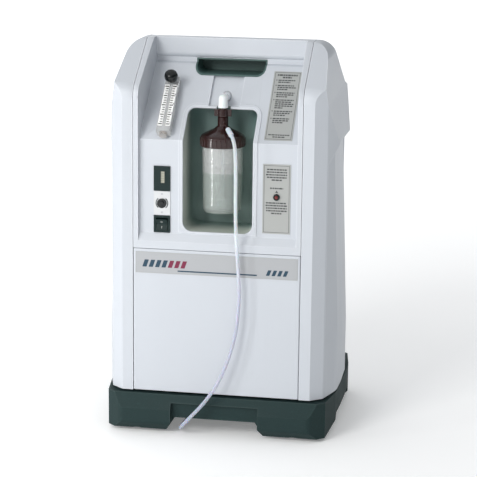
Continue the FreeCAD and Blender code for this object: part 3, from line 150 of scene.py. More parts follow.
class Tree:
    """A small wrapper that builds one node material."""

    def __init__(self, name):
        self.material = bpy.data.materials.new(name)
        self.material.use_nodes = True
        self.nodes = self.material.node_tree.nodes
        self.links = self.material.node_tree.links
        self.shader = self.nodes["Principled BSDF"]
        self.place = self.add("ShaderNodeTexCoord").outputs["Object"]

    def add(self, kind, **settings):
        node = self.nodes.new(kind)
        for key, value in settings.items():
            setattr(node, key, value)
        return node

    def join(self, source, node, socket):
        self.links.new(source, node.inputs[socket])

    def stretched(self, scale):
        """The object's coordinates stretched along its axes."""
        mapping = self.add("ShaderNodeMapping")
        mapping.inputs["Scale"].default_value = scale
        self.join(self.place, mapping, "Vector")
        return mapping.outputs["Vector"]

    def noise(self, scale, detail=3, rough=0.55, vector=None):
        node = self.add("ShaderNodeTexNoise")
        node.inputs["Scale"].default_value = scale
        node.inputs["Detail"].default_value = detail
        node.inputs["Roughness"].default_value = rough
        self.join(vector or self.place, node, "Vector")
        return node.outputs["Fac"]

    def mapped(self, source, low, high, to_low=0.0, to_high=1.0):
        node = self.add("ShaderNodeMapRange")
        for socket, value in zip(("From Min", "From Max", "To Min", "To Max"), (low, high, to_low, to_high)):
            node.inputs[socket].default_value = value
        self.join(source, node, "Value")
        return node.outputs["Result"]

    def mixed(self, factor, first, second):
        """A colour between two colours or colour outputs."""
        node = self.add("ShaderNodeMix", data_type="RGBA")
        self.join(factor, node, "Factor")
        for socket, value in ((6, first), (7, second)):
            if isinstance(value, tuple):
                node.inputs[socket].default_value = (*value, 1)
            else:
                self.links.new(value, node.inputs[socket])
        return node.outputs[2]

    def edges(self, radius):
        """1 on sharp edges and 0 on flat areas."""
        rounded = self.add("ShaderNodeBevel", samples=4)
        rounded.inputs["Radius"].default_value = radius
        flat = self.add("ShaderNodeNewGeometry").outputs["Normal"]
        dot = self.add("ShaderNodeVectorMath", operation="DOT_PRODUCT")
        self.links.new(rounded.outputs["Normal"], dot.inputs[0])
        self.links.new(flat, dot.inputs[1])
        return self.mapped(dot.outputs["Value"], 0.995, 0.85)

    def bump(self, height, strength, distance, below=None):
        node = self.add("ShaderNodeBump")
        node.inputs["Strength"].default_value = strength
        node.inputs["Distance"].default_value = distance
        self.join(height, node, "Height")
        if below:
            self.join(below, node, "Normal")
        return node.outputs["Normal"]


def scaled(colour, by):
    return tuple(min(1.0, part * by) for part in colour)


def surface(name, colour, rough, vary=0.05, vary_scale=9, grain=0.15, grain_scale=1400, grain_depth=0.0002,
            wear=None, wear_radius=0.0012, speckle=0.0, stretch=None, **fixed):
    """A solid finish: mottled colour, uneven roughness, a fine grain and rubbed edges."""
    tree = Tree(name)
    place = tree.stretched(stretch) if stretch else None
    mottle = tree.noise(vary_scale, 4)
    tint = tree.mixed(mottle, scaled(colour, 1 - vary), scaled(colour, 1 + vary))
    grains = tree.noise(grain_scale, 2, vector=place)
    if speckle:
        specks = tree.mapped(tree.noise(grain_scale * 0.7, 2), 0.56, 0.66, 0, speckle)
        tint = tree.mixed(specks, tint, scaled(colour, 1.9))
    if wear:
        tint = tree.mixed(tree.mapped(tree.edges(wear_radius), 0, 1, 0, 0.55), tint, wear)
    tree.join(tint, tree.shader, "Base Color")
    tree.join(tree.mapped(mottle, 0.2, 0.8, rough - 0.05, rough + 0.07), tree.shader, "Roughness")
    tree.join(tree.bump(grains, grain, grain_depth), tree.shader, "Normal")
    for socket, value in fixed.items():
        tree.shader.inputs[socket.replace("_", " ")].default_value = value
    return tree.material


def clear(name, colour, rough, transmission, index, vary=0.02, ripple=0.04, **fixed):
    """A clear or milky plastic with slight haze and flow marks."""
    tree = Tree(name)
    haze = tree.noise(26, 3)
    tree.join(tree.mixed(haze, scaled(colour, 1 - vary), scaled(colour, 1 + vary)), tree.shader, "Base Color")
    tree.join(tree.mapped(haze, 0.2, 0.8, rough * 0.7, rough * 1.4), tree.shader, "Roughness")
    tree.join(tree.bump(tree.noise(60, 2), ripple, 0.0006), tree.shader, "Normal")
    tree.shader.inputs["Transmission Weight"].default_value = transmission
    tree.shader.inputs["IOR"].default_value = index
    for socket, value in fixed.items():
        tree.shader.inputs[socket.replace("_", " ")].default_value = value
    return tree.material


def plain_floor():
    """Pale paint that glows more with distance, so that the floor meets the surround without an edge."""
    tree = Tree("floor_paint")
    tree.join(tree.mixed(tree.noise(1.3, 2), FLOOR_COOL, FLOOR_PALE), tree.shader, "Base Color")
    tree.shader.inputs["Roughness"].default_value = 0.65
    reach = tree.add("ShaderNodeVectorMath", operation="LENGTH")
    tree.links.new(tree.place, reach.inputs[0])
    tree.shader.inputs["Emission Color"].default_value = (1, 1, 1, 1)
    glow = tree.mapped(reach.outputs["Value"], GLOW_NEAR, GLOW_FAR, GLOW_LEAST, GLOW_MOST)
    tree.join(glow, tree.shader, "Emission Strength")
    return tree.material


# ---------------------------------------------------------------- materials by slot

WHITE_PLASTIC = (0.54, 0.568, 0.61)
BASE_GREEN = (0.011, 0.029, 0.029)
TUB_GREY = (0.24, 0.33, 0.31)
# Painted shade: a darker teal mixed into the upper half of the well, where shade falls from above.
TUB_TOP_PAINTED_SHADE = (0.12, 0.20, 0.19)
# Painted light: a paler tone mixed in towards the well's mouth, where more light reaches and bounces in.
TUB_MOUTH_PAINTED_LIGHT = (0.58, 0.61, 0.55)
# Painted shade: the well's plastic darkened for the grip pocket, to stand for the deep shade inside it.
POCKET_SHADED_TEAL = (0.060, 0.115, 0.107)
JAR_WET = (0.70, 0.77, 0.73)
BAND_GREY = (0.385, 0.396, 0.412)
LABEL_GREY = (0.37, 0.38, 0.37)
TUBE_TINT = (0.60, 0.60, 0.74)
TINT_BEGINS_Z = 0.40
TINT_FULL_Z = 0.22
MAROON = (0.020, 0.0042, 0.0036)
PRINT_GREY = (0.055, 0.06, 0.06)
PRINT_TEAL = (0.008, 0.044, 0.080)
PRINT_PLUM = (0.18, 0.009, 0.045)
PRINT_WHITE = (0.93, 0.93, 0.92)
BOARD_COLOURS = {
    "Color1": (0.01, 0.11, 0.04, 1),
    "Color2": (0.012, 0.14, 0.05, 1),
    "Mortar": (0.25, 0.2, 0.06, 1),
}
FOAM_DEEP = (0.012, 0.013, 0.014)
FOAM_PALE = (0.075, 0.077, 0.08)


def foam():
    """Open-cell filter foam."""
    tree = Tree("foam_grey")
    cells = tree.add("ShaderNodeTexVoronoi", feature="F1")
    cells.inputs["Scale"].default_value = 620
    tree.join(tree.place, cells, "Vector")
    depth = tree.mapped(cells.outputs["Distance"], 0.1, 0.7)
    tree.join(tree.mixed(depth, FOAM_DEEP, FOAM_PALE), tree.shader, "Base Color")
    tree.shader.inputs["Roughness"].default_value = 0.95
    tree.join(tree.bump(depth, 0.8, 0.0012), tree.shader, "Normal")
    return tree.material


def circuit_board():
    """A green board crossed by copper tracks."""
    tree = Tree("board_green")
    tracks = tree.add("ShaderNodeTexBrick")
    tracks.inputs["Scale"].default_value = 90
    for socket, value in BOARD_COLOURS.items():
        tracks.inputs[socket].default_value = value
    tracks.inputs["Mortar Size"].default_value = 0.03
    tree.join(tree.place, tracks, "Vector")
    tree.join(tracks.outputs["Color"], tree.shader, "Base Color")
    tree.shader.inputs["Roughness"].default_value = 0.4
    return tree.material


def fade_along(axis, material, start, end, colour, most):
    """Mixes a second colour into a finish along one axis of the object, up to a largest share."""
    nodes = material.node_tree.nodes
    links = material.node_tree.links
    colour_input = nodes["Principled BSDF"].inputs["Base Color"]
    first = colour_input.links[0].from_socket
    split = nodes.new("ShaderNodeSeparateXYZ")
    links.new(nodes.new("ShaderNodeTexCoord").outputs["Object"], split.inputs[0])
    ramp = nodes.new("ShaderNodeMapRange")
    ramp.interpolation_type = "SMOOTHSTEP"
    for socket, value in (("From Min", start), ("From Max", end), ("To Min", 0.0), ("To Max", most)):
        ramp.inputs[socket].default_value = value
    links.new(split.outputs[axis], ramp.inputs["Value"])
    mix = nodes.new("ShaderNodeMix")
    mix.data_type = "RGBA"
    links.new(ramp.outputs["Result"], mix.inputs["Factor"])
    links.new(first, mix.inputs[6])
    mix.inputs[7].default_value = (*colour, 1)
    links.new(mix.outputs[2], colour_input)


def tub():
    """The well's dark plastic, with painted shade darkening its upper half and painted light making it paler
    towards its mouth.
    """
    material = surface("well_grey", TUB_GREY, 0.45, vary=0.05, grain=0.25, grain_scale=1100,
                       wear=(0.26, 0.32, 0.30), wear_radius=0.002)
    low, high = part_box("humidifier_well")
    # Painted shade: darker towards the top of the well, under the panel above it.
    fade_along("Z", material, (low.z + high.z) / 2, high.z - 0.01, TUB_TOP_PAINTED_SHADE, 0.9)
    # Painted light: paler towards the mouth, where more light reaches the walls.
    fade_along("Y", material, high.y - 0.01, low.y + 0.02, TUB_MOUTH_PAINTED_LIGHT, 0.85)
    return material


def jar():
    """Milky clear plastic, which looks darker where the water wets it."""
    material = clear("jar_clear", (0.93, 0.95, 0.94), 0.12, 0.74, 1.28, vary=0.06, ripple=0.10,
                     Coat_Weight=0.7, Coat_Roughness=0.05)
    water_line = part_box("humidifier_water")[1].z
    half_blur = 0.0015
    fade_along("Z", material, water_line + half_blur, water_line - half_blur, JAR_WET, 0.85)
    return material


def tubing():
    """Clear soft tube, with a slight violet tint towards the floor."""
    material = clear("vinyl_clear", (0.95, 0.96, 1.0), 0.12, 0.45, 1.25, ripple=0.06,
                     Subsurface_Weight=0.25)
    fade_along("Z", material, TINT_BEGINS_Z, TINT_FULL_Z, TUBE_TINT, 0.8)
    return material


def slot_materials():
    """One finish for every slot, by its name."""
    metal = {"Metallic": 1.0}
    return {
        "cabinet_shell": surface("cabinet_shell", WHITE_PLASTIC, 0.42, vary=0.018, grain=0.10,
                                 grain_scale=1600, wear=(0.80, 0.82, 0.86), wear_radius=0.003,
                                 Specular_IOR_Level=0.42),
        "base_black": surface("base_black", BASE_GREEN, 0.66, vary=0.10, grain=0.55, grain_scale=620,
                              grain_depth=0.0005, speckle=0.25, wear=(0.045, 0.07, 0.068), wear_radius=0.004,
                              Specular_IOR_Level=0.28),
        "well_grey": tub(),
        # Painted shade: the pocket's darker teal is the well's plastic shaded, not a colour of its own.
        "pocket_teal": surface("pocket_teal", POCKET_SHADED_TEAL, 0.45, vary=0.05, grain=0.25, grain_scale=1100,
                               wear=(0.12, 0.18, 0.17), wear_radius=0.0015),
        "band_film": surface("band_film", BAND_GREY, 0.30, vary=0.015, grain=0.05, Coat_Weight=0.25),
        "label_film": surface("label_film", LABEL_GREY, 0.38, vary=0.03, grain=0.05, Coat_Weight=0.15),
        "lid_brown": surface("lid_brown", MAROON, 0.22, vary=0.10, grain=0.05, grain_scale=700,
                             wear=(0.07, 0.018, 0.014), wear_radius=0.0006, Specular_IOR_Level=0.3,
                             Coat_Weight=0.45, Coat_Roughness=0.08),
        "jar_clear": jar(),
        "water": clear("water", (0.62, 0.70, 0.68), 0.05, 0.75, 1.33, ripple=0.02),
        "meter_clear": clear("meter_clear", (0.97, 0.98, 0.98), 0.05, 0.70, 1.30, Coat_Weight=0.5,
                             Coat_Roughness=0.04),
        "black_gloss": surface("black_gloss", (0.003, 0.005, 0.005), 0.16, vary=0.2, grain=0.03,
                               Specular_IOR_Level=0.2, Coat_Weight=0.5, Coat_Roughness=0.05),
        "dark_control": surface("dark_control", (0.007, 0.020, 0.019), 0.40, vary=0.12, grain=0.3,
                                grain_scale=1500, wear=(0.03, 0.05, 0.048), wear_radius=0.0004,
                                Specular_IOR_Level=0.25),
        "meter_window": surface("meter_window", (0.33, 0.33, 0.26), 0.16, vary=0.04, grain=0.02,
                                Coat_Weight=0.6),
        "float_black": surface("float_black", (0.015, 0.015, 0.015), 0.2, vary=0.2, grain=0.05),
        "switch_plate": surface("switch_plate", (0.62, 0.63, 0.64), 0.30, vary=0.04, grain=0.18,
                                grain_scale=500, stretch=(1, 1, 30), **metal),
        "elbow_white": surface("elbow_white", (0.80, 0.81, 0.82), 0.26, vary=0.03, grain=0.04,
                               Subsurface_Weight=0.1, Coat_Weight=0.15),
        "lamp_red": surface("lamp_red", (0.14, 0.012, 0.012), 0.18, vary=0.1, grain=0.05, Coat_Weight=0.4),
        "vinyl_clear": tubing(),
        "vinyl_soft": clear("vinyl_soft", (0.90, 0.92, 1.0), 0.2, 0.35, 1.25, Subsurface_Weight=0.3),
        "gasket_rubber": surface("gasket_rubber", (0.03, 0.03, 0.03), 0.7, vary=0.15, grain=0.3),
        "foam_grey": foam(),
        "rear_dark": surface("rear_dark", (0.03, 0.033, 0.035), 0.55, vary=0.12, grain=0.4, grain_scale=900,
                             wear=(0.10, 0.10, 0.105), wear_radius=0.001),
        "screw_steel": surface("screw_steel", (0.50, 0.51, 0.53), 0.32, vary=0.06, grain=0.12, **metal),
        "fork_steel": surface("fork_steel", (0.46, 0.47, 0.49), 0.36, vary=0.08, grain=0.25, grain_scale=500,
                              wear=(0.65, 0.66, 0.68), wear_radius=0.001, **metal),
        "caster_tread": surface("caster_tread", (0.05, 0.052, 0.055), 0.6, vary=0.2, vary_scale=60, grain=0.4,
                                grain_scale=800, wear=(0.13, 0.13, 0.13), wear_radius=0.001),
        "chassis_steel": surface("chassis_steel", (0.42, 0.43, 0.44), 0.4, vary=0.12, vary_scale=30,
                                 grain=0.2, **metal),
        "pump_metal": surface("pump_metal", (0.36, 0.37, 0.38), 0.46, vary=0.12, grain=0.6, grain_scale=500,
                              wear=(0.6, 0.61, 0.62), wear_radius=0.0012, **metal),
        "copper_pipe": surface("copper_pipe", (0.60, 0.27, 0.14), 0.3, vary=0.12, grain=0.15, **metal),
        "canister_metal": surface("canister_metal", (0.52, 0.53, 0.55), 0.34, vary=0.05, grain=0.2,
                                  stretch=(1, 1, 30), **metal),
        "tank_plastic": surface("tank_plastic", (0.12, 0.12, 0.13), 0.5, vary=0.1, grain=0.3),
        "fan_plastic": surface("fan_plastic", (0.03, 0.03, 0.032), 0.45, vary=0.12, grain=0.2),
        "board_green": circuit_board(),
        "print_grey": surface("print_grey", PRINT_GREY, 0.5, vary=0.1, grain=0.05),
        "print_teal": surface("print_teal", PRINT_TEAL, 0.35, vary=0.05, grain=0.05),
        "print_plum": surface("print_plum", PRINT_PLUM, 0.35, vary=0.05, grain=0.05),
        "print_white": surface("print_white", PRINT_WHITE, 0.4, vary=0.02, grain=0.05),
        "nickel_fitting": surface("nickel_fitting", (0.62, 0.58, 0.54), 0.25, grain=0.10,
                                  stretch=(1, 1, 40), **metal),
    }


def dress_cad_nodes(made):
    """Gives every CAD node the finish of its slot."""
    for piece in NODES.values():
        slot_name = piece.data.materials[0].name
        piece.data.materials[0] = made[slot_name]


WELD_DISTANCE = 0.00001


def soften(names, width, segments=3, angle=32):
    """Rounds the edges of CAD nodes."""
    for name in names:
        piece = NODES[name]
        weld = piece.modifiers.new("weld", "WELD")
        weld.merge_threshold = WELD_DISTANCE
        bevel = piece.modifiers.new("round", "BEVEL")
        bevel.width = width
        bevel.segments = segments
        bevel.limit_method = "ANGLE"
        bevel.angle_limit = math.radians(angle)
        bevel.harden_normals = True


# ---------------------------------------------------------------- the supply tube

TUBE_DIAMETER = 0.0064
TUBE_ROUTE = [
    (0.024, -0.165, 0.546), (0.034, -0.187, 0.539), (0.038, -0.197, 0.511), (0.038, -0.193, 0.470),
    (0.037, -0.187, 0.420), (0.038, -0.184, 0.366), (0.042, -0.183, 0.312), (0.045, -0.184, 0.268),
    (0.043, -0.185, 0.226), (0.038, -0.186, 0.188), (0.027, -0.188, 0.148), (0.011, -0.190, 0.107),
    (-0.013, -0.193, 0.069), (-0.041, -0.195, 0.038), (-0.060, -0.184, 0.016), (-0.067, -0.150, 0.0045),
    (-0.066, -0.095, 0.0033), (-0.058, -0.020, 0.0033), (-0.062, 0.060, 0.0033), (-0.058, 0.130, 0.0033),
    (-0.050, 0.196, 0.0033), (-0.036, 0.256, 0.0033),
]
COIL_MIDDLE = Vector((0.012, 0.256, 0))
COIL_TURNS_LOW = 2.27
COIL_TURNS_HIGH = 2.0
COIL_RADIUS = 0.0452
COIL_PITCH = 0.0065
COIL_START = math.radians(172)
COIL_STEPS = 20
COIL_CLIMB = 0.2
COIL_REST_Z = 0.0033
LEAD_OUT = [(0.012, 0.0094), (0.021, 0.0080), (0.029, 0.0063), (0.0375, 0.0054)]
TIE_HALF_WIDE = 0.0125
TIE_HALF_TALL = 0.0066
TIE_HALF_LONG = 0.004
TIE_CORNER = 0.004
TIE_THICK = 0.0008
TIE_TURN = math.radians(-60)


def coil_points():
    """The stored turns: inwards on the floor, then outwards on top of those."""
    total = COIL_TURNS_LOW + COIL_TURNS_HIGH
    count = round(total * COIL_STEPS)
    inner = COIL_RADIUS - COIL_PITCH * COIL_TURNS_LOW
    points = []
    for step in range(1, count + 1):
        turn = total * step / count
        angle = COIL_START - math.tau * turn
        from_climb = abs(turn - COIL_TURNS_LOW)
        radius = inner + COIL_PITCH * from_climb
        rise = min(1.0, max(0.0, (turn - COIL_TURNS_LOW + COIL_CLIMB / 2) / COIL_CLIMB))
        height = COIL_REST_Z + COIL_PITCH * rise * rise * (3 - 2 * rise)
        points.append(COIL_MIDDLE + Vector((math.cos(angle) * radius, math.sin(angle) * radius, height)))
    heading = Vector((math.sin(angle), -math.cos(angle), 0))
    last = points[-1]
    for along, height in LEAD_OUT:
        points.append(Vector((last.x, last.y, height)) + heading * along)
    return points


def add_supply_tube():
    """One cord for the whole tube: down the front, under the base and into the stored turns."""
    curve = bpy.data.curves.new("supply_tube_line", "CURVE")
    curve.dimensions = "3D"
    curve.resolution_u = 8
    curve.bevel_depth = TUBE_DIAMETER / 2
    curve.bevel_resolution = 5
    spline = curve.splines.new("NURBS")
    points = [Vector(point) for point in TUBE_ROUTE] + coil_points()
    spline.points.add(len(points) - 1)
    for control, point in zip(spline.points, points):
        control.co = (*point, 1)
    spline.order_u = 3
    spline.use_endpoint_u = True
    tube = bpy.data.objects.new("oxygen_supply_tube", curve)
    bpy.context.scene.collection.objects.link(tube)
    curve.materials.append(MATERIALS["vinyl_clear"])
    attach(tube, "root")
    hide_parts("supply_tube", "tube_coil")
    tie = add_coil_tie()


def add_coil_tie():
    """A soft strap round the stored turns."""
    middle = COIL_RADIUS - COIL_PITCH * COIL_TURNS_LOW / 2
    lift = Vector((0, 0, TIE_HALF_TALL + 0.0003))
    placement = Matrix.Translation(COIL_MIDDLE + lift) @ Matrix.Rotation(TIE_TURN, 4, "Z")
    rings = []
    for grow in (0, -TIE_THICK):
        ring = []
        for quarter, (sx, sz) in enumerate(((1, 1), (-1, 1), (-1, -1), (1, -1))):
            for step in range(5):
                angle = math.radians(90 * quarter + 90 * step / 4)
                reach = TIE_CORNER + grow
                ring.append((middle + sx * (TIE_HALF_WIDE - TIE_CORNER) + math.cos(angle) * reach,
                             sz * (TIE_HALF_TALL - TIE_CORNER) + math.sin(angle) * reach))
        rings.append(ring)
    verts = []
    for ring in rings:
        for end in (-TIE_HALF_LONG, TIE_HALF_LONG):
            verts += [placement @ Vector((x, end, z)) for x, z in ring]
    count = len(rings[0])
    outer_a, outer_b, inner_a, inner_b = (index * count for index in range(4))
    faces = []
    for index in range(count):
        following = (index + 1) % count
        for low, high in ((outer_a, outer_b), (outer_b, inner_b), (inner_b, inner_a), (inner_a, outer_a)):
            faces.append((low + index, high + index, high + following, low + following))
    return mesh_piece("coil_tie", verts, faces, "gasket_rubber")


# ---------------------------------------------------------------- mesh helpers

def mesh_piece(name, verts, faces, material, body="root"):
    """A piece from corners and faces, with its faces turned outwards, that rides with a body."""
    mesh = bpy.data.meshes.new(name)
    mesh.from_pydata([tuple(v) for v in verts], [], faces)
    mesh.validate()
    shape = bmesh.new()
    shape.from_mesh(mesh)
    bmesh.ops.recalc_face_normals(shape, faces=shape.faces)
    shape.to_mesh(mesh)
    shape.free()
    piece = bpy.data.objects.new(name, mesh)
    bpy.context.scene.collection.objects.link(piece)
    mesh.materials.append(MATERIALS[material])
    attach(piece, body)
    return piece


def rect(left, right, low, high):
    """The outline of a rectangle."""
    return [(left, low), (right, low), (right, high), (left, high)]


def plates(name, placement, outlines, thick, material, body="root"):
    """Thin raised shapes on a plane, each from an outline of its corners, as one piece."""
    verts = []
    faces = []
    for outline in outlines:
        start = len(verts)
        count = len(outline)
        for out in (0, thick):
            verts += [placement @ Vector((x, z, out)) for x, z in outline]
        faces.append(tuple(start + index for index in range(count)))
        faces.append(tuple(start + count + index for index in reversed(range(count))))
        for index in range(count):
            following = (index + 1) % count
            faces.append((start + index, start + count + index, start + count + following, start + following))
    return mesh_piece(name, verts, faces, material, body)


def lathe(name, outline, centre, material, body="root", steps=72):
    """A closed solid of revolution about a vertical axis, from (radius, height) points.

    The first and last points lie on the axis.
    """
    verts = [Vector((centre.x, centre.y, outline[0][1])), Vector((centre.x, centre.y, outline[-1][1]))]
    rings = outline[1:-1]
    for radius, height in rings:
        for step in range(steps):
            angle = math.tau * step / steps
            x = centre.x + radius * math.cos(angle)
            y = centre.y + radius * math.sin(angle)
            verts.append(Vector((x, y, height)))
    faces = []
    for step in range(steps):
        following = (step + 1) % steps
        faces.append((0, 2 + following, 2 + step))
        last = 2 + (len(rings) - 1) * steps
        faces.append((1, last + step, last + following))
        for ring in range(len(rings) - 1):
            low = 2 + ring * steps
            faces.append((low + step, low + following, low + steps + following, low + steps + step))
    piece = mesh_piece(name, verts, faces, material, body)
    piece.data.shade_smooth()
    return piece


def plane_at(point, upward, outward):
    """A placement whose X is the user's right, Y runs up the surface and Z stands out of it."""
    columns = Matrix((Vector((1, 0, 0)), upward.normalized(), outward.normalized())).transposed()
    return Matrix.Translation(point) @ columns.to_4x4()


# ---------------------------------------------------------------- humidifier

JAR_TAPER = 0.0016


def add_water():
    """The water in the jar, with a rounded foot and a raised edge where it wets the wall."""
    low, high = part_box("humidifier_water")
    centre = (low + high) / 2
    radius = (high.x - low.x) / 2
    flat = radius - 0.003
    top = high.z - 0.0004
    outline = [(0, low.z), (flat, low.z), (radius - 0.001, low.z + 0.001), (radius, low.z + 0.003),
               (radius, high.z - 0.0008), (radius - 0.0008, high.z - 0.0002), (flat, top), (0, top)]
    water = lathe("bottle_water", outline, centre, "water", "jar")
    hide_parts("humidifier_water")


def add_jar_marks():
    """Raised level rings on the jar, which narrows a little towards its foot."""
    low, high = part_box("humidifier_jar")
    centre = (low + high) / 2
    radius = (high.x - low.x) / 2
    taper = JAR_TAPER / (high.z - low.z)
    for tag, level in (("full", 0.92), ("half", 0.68), ("least", 0.30)):
        z = low.z + (high.z - low.z) * level
        here = radius - taper * (high.z - z)
        ring = [(here - 0.0004, z - 0.0005), (here + 0.0003, z - 0.0002), (here + 0.0003, z + 0.0002),
                (here - 0.0004, z + 0.0005)]
        hoop(f"jar_mark_{tag}", ring, Matrix.Translation((centre.x, centre.y, 0)), "jar_clear", "jar")


def hoop(name, section, placement, material, body="root", steps=72):
    """A ring about a placement's own Z axis, from a closed section of (radius, height) points."""
    verts = []
    faces = []
    count = len(section)
    for step in range(steps):
        angle = math.tau * step / steps
        for radius, height in section:
            verts.append(placement @ Vector((radius * math.cos(angle), radius * math.sin(angle), height)))
        start = step * count
        ahead = ((step + 1) % steps) * count
        for index in range(count):
            following = (index + 1) % count
            faces.append((start + index, start + following, ahead + following, ahead + index))
    piece = mesh_piece(name, verts, faces, material, body)
    piece.data.shade_smooth()
    return piece


# ---------------------------------------------------------------- prints on the panel and door

PANEL_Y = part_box("breaker_plate")[1].y
KINK_Z = 0.532
UP = Vector((0, 0, 1))
OUT = Vector((0, -1, 0))
INCLINE_UP = Vector((0, 1, 1))
INCLINE_OUT = Vector((0, -1, 1))
PRINT = 0.00012
LABEL_TOP = 0.497
LABEL_THICK = 0.0008
UPPER_LABEL = (0.008, 0.158)
WORD_SHORT = 0.0022
WORD_LONG = 0.0058
WORD_GAP = 0.0010
ROW_PITCH = 0.0046
BAR_TALL = 0.0025


def upright(out=0.0):
    """The upright part of the panel: X across, Y up from the floor, raised by a distance."""
    return plane_at(Vector((0, PANEL_Y - out, 0)), UP, OUT)


def incline(out=0.0):
    """The sloping part of the panel: X across, Y up the slope from its foot, raised by a distance."""
    return plane_at(Vector((0, PANEL_Y, KINK_Z)) + INCLINE_OUT.normalized() * out, INCLINE_UP, INCLINE_OUT)


def border(left, right, low, high, wide):
    """Four thin rectangles round a rectangle."""
    foot = low + wide
    head = high - wide
    return [rect(left, right, head, high), rect(left, right, low, foot),
            rect(left, left + wide, foot, head), rect(right - wide, right, foot, head)]


def small_print(left, right, top, rows, pitch, tall, centred=True):
    """Rows of short bars that stand for lines of small print."""
    marks = []
    for row in range(rows):
        share = RANDOM.uniform(0.82, 1.0) if row < rows - 1 else RANDOM.uniform(0.4, 0.65)
        width = (right - left) * share
        start = (left + right - width) / 2 if centred else left
        level = top - row * pitch
        at = start
        while at < start + width - 0.001:
            word = min(RANDOM.uniform(WORD_SHORT, WORD_LONG), start + width - at)
            marks.append(rect(at, at + word, level - tall, level))
            at += word + WORD_GAP
    return marks


def add_label_prints():
    """A thin border and rows of bars on the lower label, and the same on the upper one."""
    low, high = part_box("instruction_labels")
    left, right = low.x, high.x
    inset = 0.0022
    line = 0.0006
    edge = border(left + inset, right - inset, low.z + inset, LABEL_TOP - inset, line)
    inner_left = left + 0.0055
    inner_right = right - 0.0055
    text = small_print(inner_left, inner_right, LABEL_TOP - 0.0080, 5, ROW_PITCH, BAR_TALL)
    text += small_print(inner_left - 0.001, inner_right + 0.001, LABEL_TOP - 0.0410, 1, ROW_PITCH, BAR_TALL)
    text += small_print(inner_left, inner_right, LABEL_TOP - 0.0670, 5, ROW_PITCH, BAR_TALL)
    lamp_low, lamp_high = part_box("alarm_light")
    middle = (lamp_low.x + lamp_high.x) / 2
    lamp_z = (lamp_low.z + lamp_high.z) / 2
    mark_foot = lamp_z + 0.0080
    text.append([(middle - 0.0026, mark_foot), (middle + 0.0026, mark_foot), (middle, lamp_z + 0.0120)])
    plates("lower_label_print", upright(LABEL_THICK), edge + text, PRINT, "print_grey")
    foot, head = UPPER_LABEL
    edge = border(left + inset, right - inset, foot + inset, head - inset, line)
    text = small_print(inner_left, inner_right, head - 0.0065, 2, 0.0052, 0.0034)
    top = head - 0.0185
    tight = 0.0043
    for rows in (2, 3, 3, 5, 3, 3):
        text += small_print(inner_left + 0.004, inner_right, top, rows, tight, BAR_TALL, centred=False)
        text.append(rect(inner_left, inner_left + 0.0018, top - 0.0020, top))
        top -= rows * tight + 0.0030
    text += small_print(inner_left, inner_right, foot + 0.0125, 2, 0.0045, 0.0022)
    plates("upper_label_print", incline(LABEL_THICK), edge + text, PRINT, "print_grey")


def leaning(left, wide, low, high, lean):
    """A parallelogram that leans to the right."""
    return [(left, low), (left + wide, low), (left + wide + lean, high), (left + lean, high)]


def add_door_band_prints():
    """A plain rule with a few leaning stripes at each end."""
    low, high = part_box("door_band")
    face = plane_at(Vector((0, low.y, 0)), UP, OUT)
    left, right = low.x, high.x
    rule = low.z + 0.0045
    teal = [rect(left + 0.076, right - 0.072, rule, rule + 0.0024)]
    plum = []
    for index in range(7):
        bar = leaning(left + 0.012 + index * 0.0115, 0.0075, low.z + 0.0110, low.z + 0.0240, 0.0045)
        (plum if index > 3 else teal).append(bar)
    for index in range(4):
        teal.append(leaning(right - 0.056 + index * 0.0100, 0.0060, low.z + 0.0060, low.z + 0.0160, 0.0040))
    plates("band_stripes_teal", face, teal, PRINT, "print_teal")
    plates("band_stripes_plum", face, plum, PRINT, "print_plum")
    plates("band_edge", face, border(left, right, low.z, high.z, 0.0007), PRINT, "label_film")


def add_alarm_bezel():
    """The dark ring round the alarm light."""
    low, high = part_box("alarm_light")
    placement = plane_at(Vector(((low.x + high.x) / 2, low.y, (low.z + high.z) / 2)), UP, OUT)
    section = [(0.0030, -0.0030), (0.0056, -0.0040), (0.0056, -0.0014), (0.0049, -0.0006), (0.0036, -0.0006)]
    hoop("alarm_bezel", section, placement, "dark_control", steps=48)


# ---------------------------------------------------------------- trim round the well

WELL_LOW_ROUND = 0.020
WELL_TOP_ROUND = 0.015
NOTCH_HALF = 0.0125
FOLD_CLOSE = 1e-6
TRIM_SECTION = [(-0.0003, 0.0), (-0.0003, 0.0013), (0.0003, 0.0018), (0.0021, 0.0018), (0.0029, 0.0011),
                (0.0029, -0.0012)]


def on_panel(x, z, out):
    """A point of the folded panel, raised from its surface."""
    if abs(z - KINK_Z) < FOLD_CLOSE:
        away = (OUT + INCLINE_OUT.normalized()) / (1 + math.cos(math.radians(45)))
    else:
        away = INCLINE_OUT.normalized() if z > KINK_Z else OUT
    return Vector((x, PANEL_Y + max(0.0, z - KINK_Z), z)) + away * out


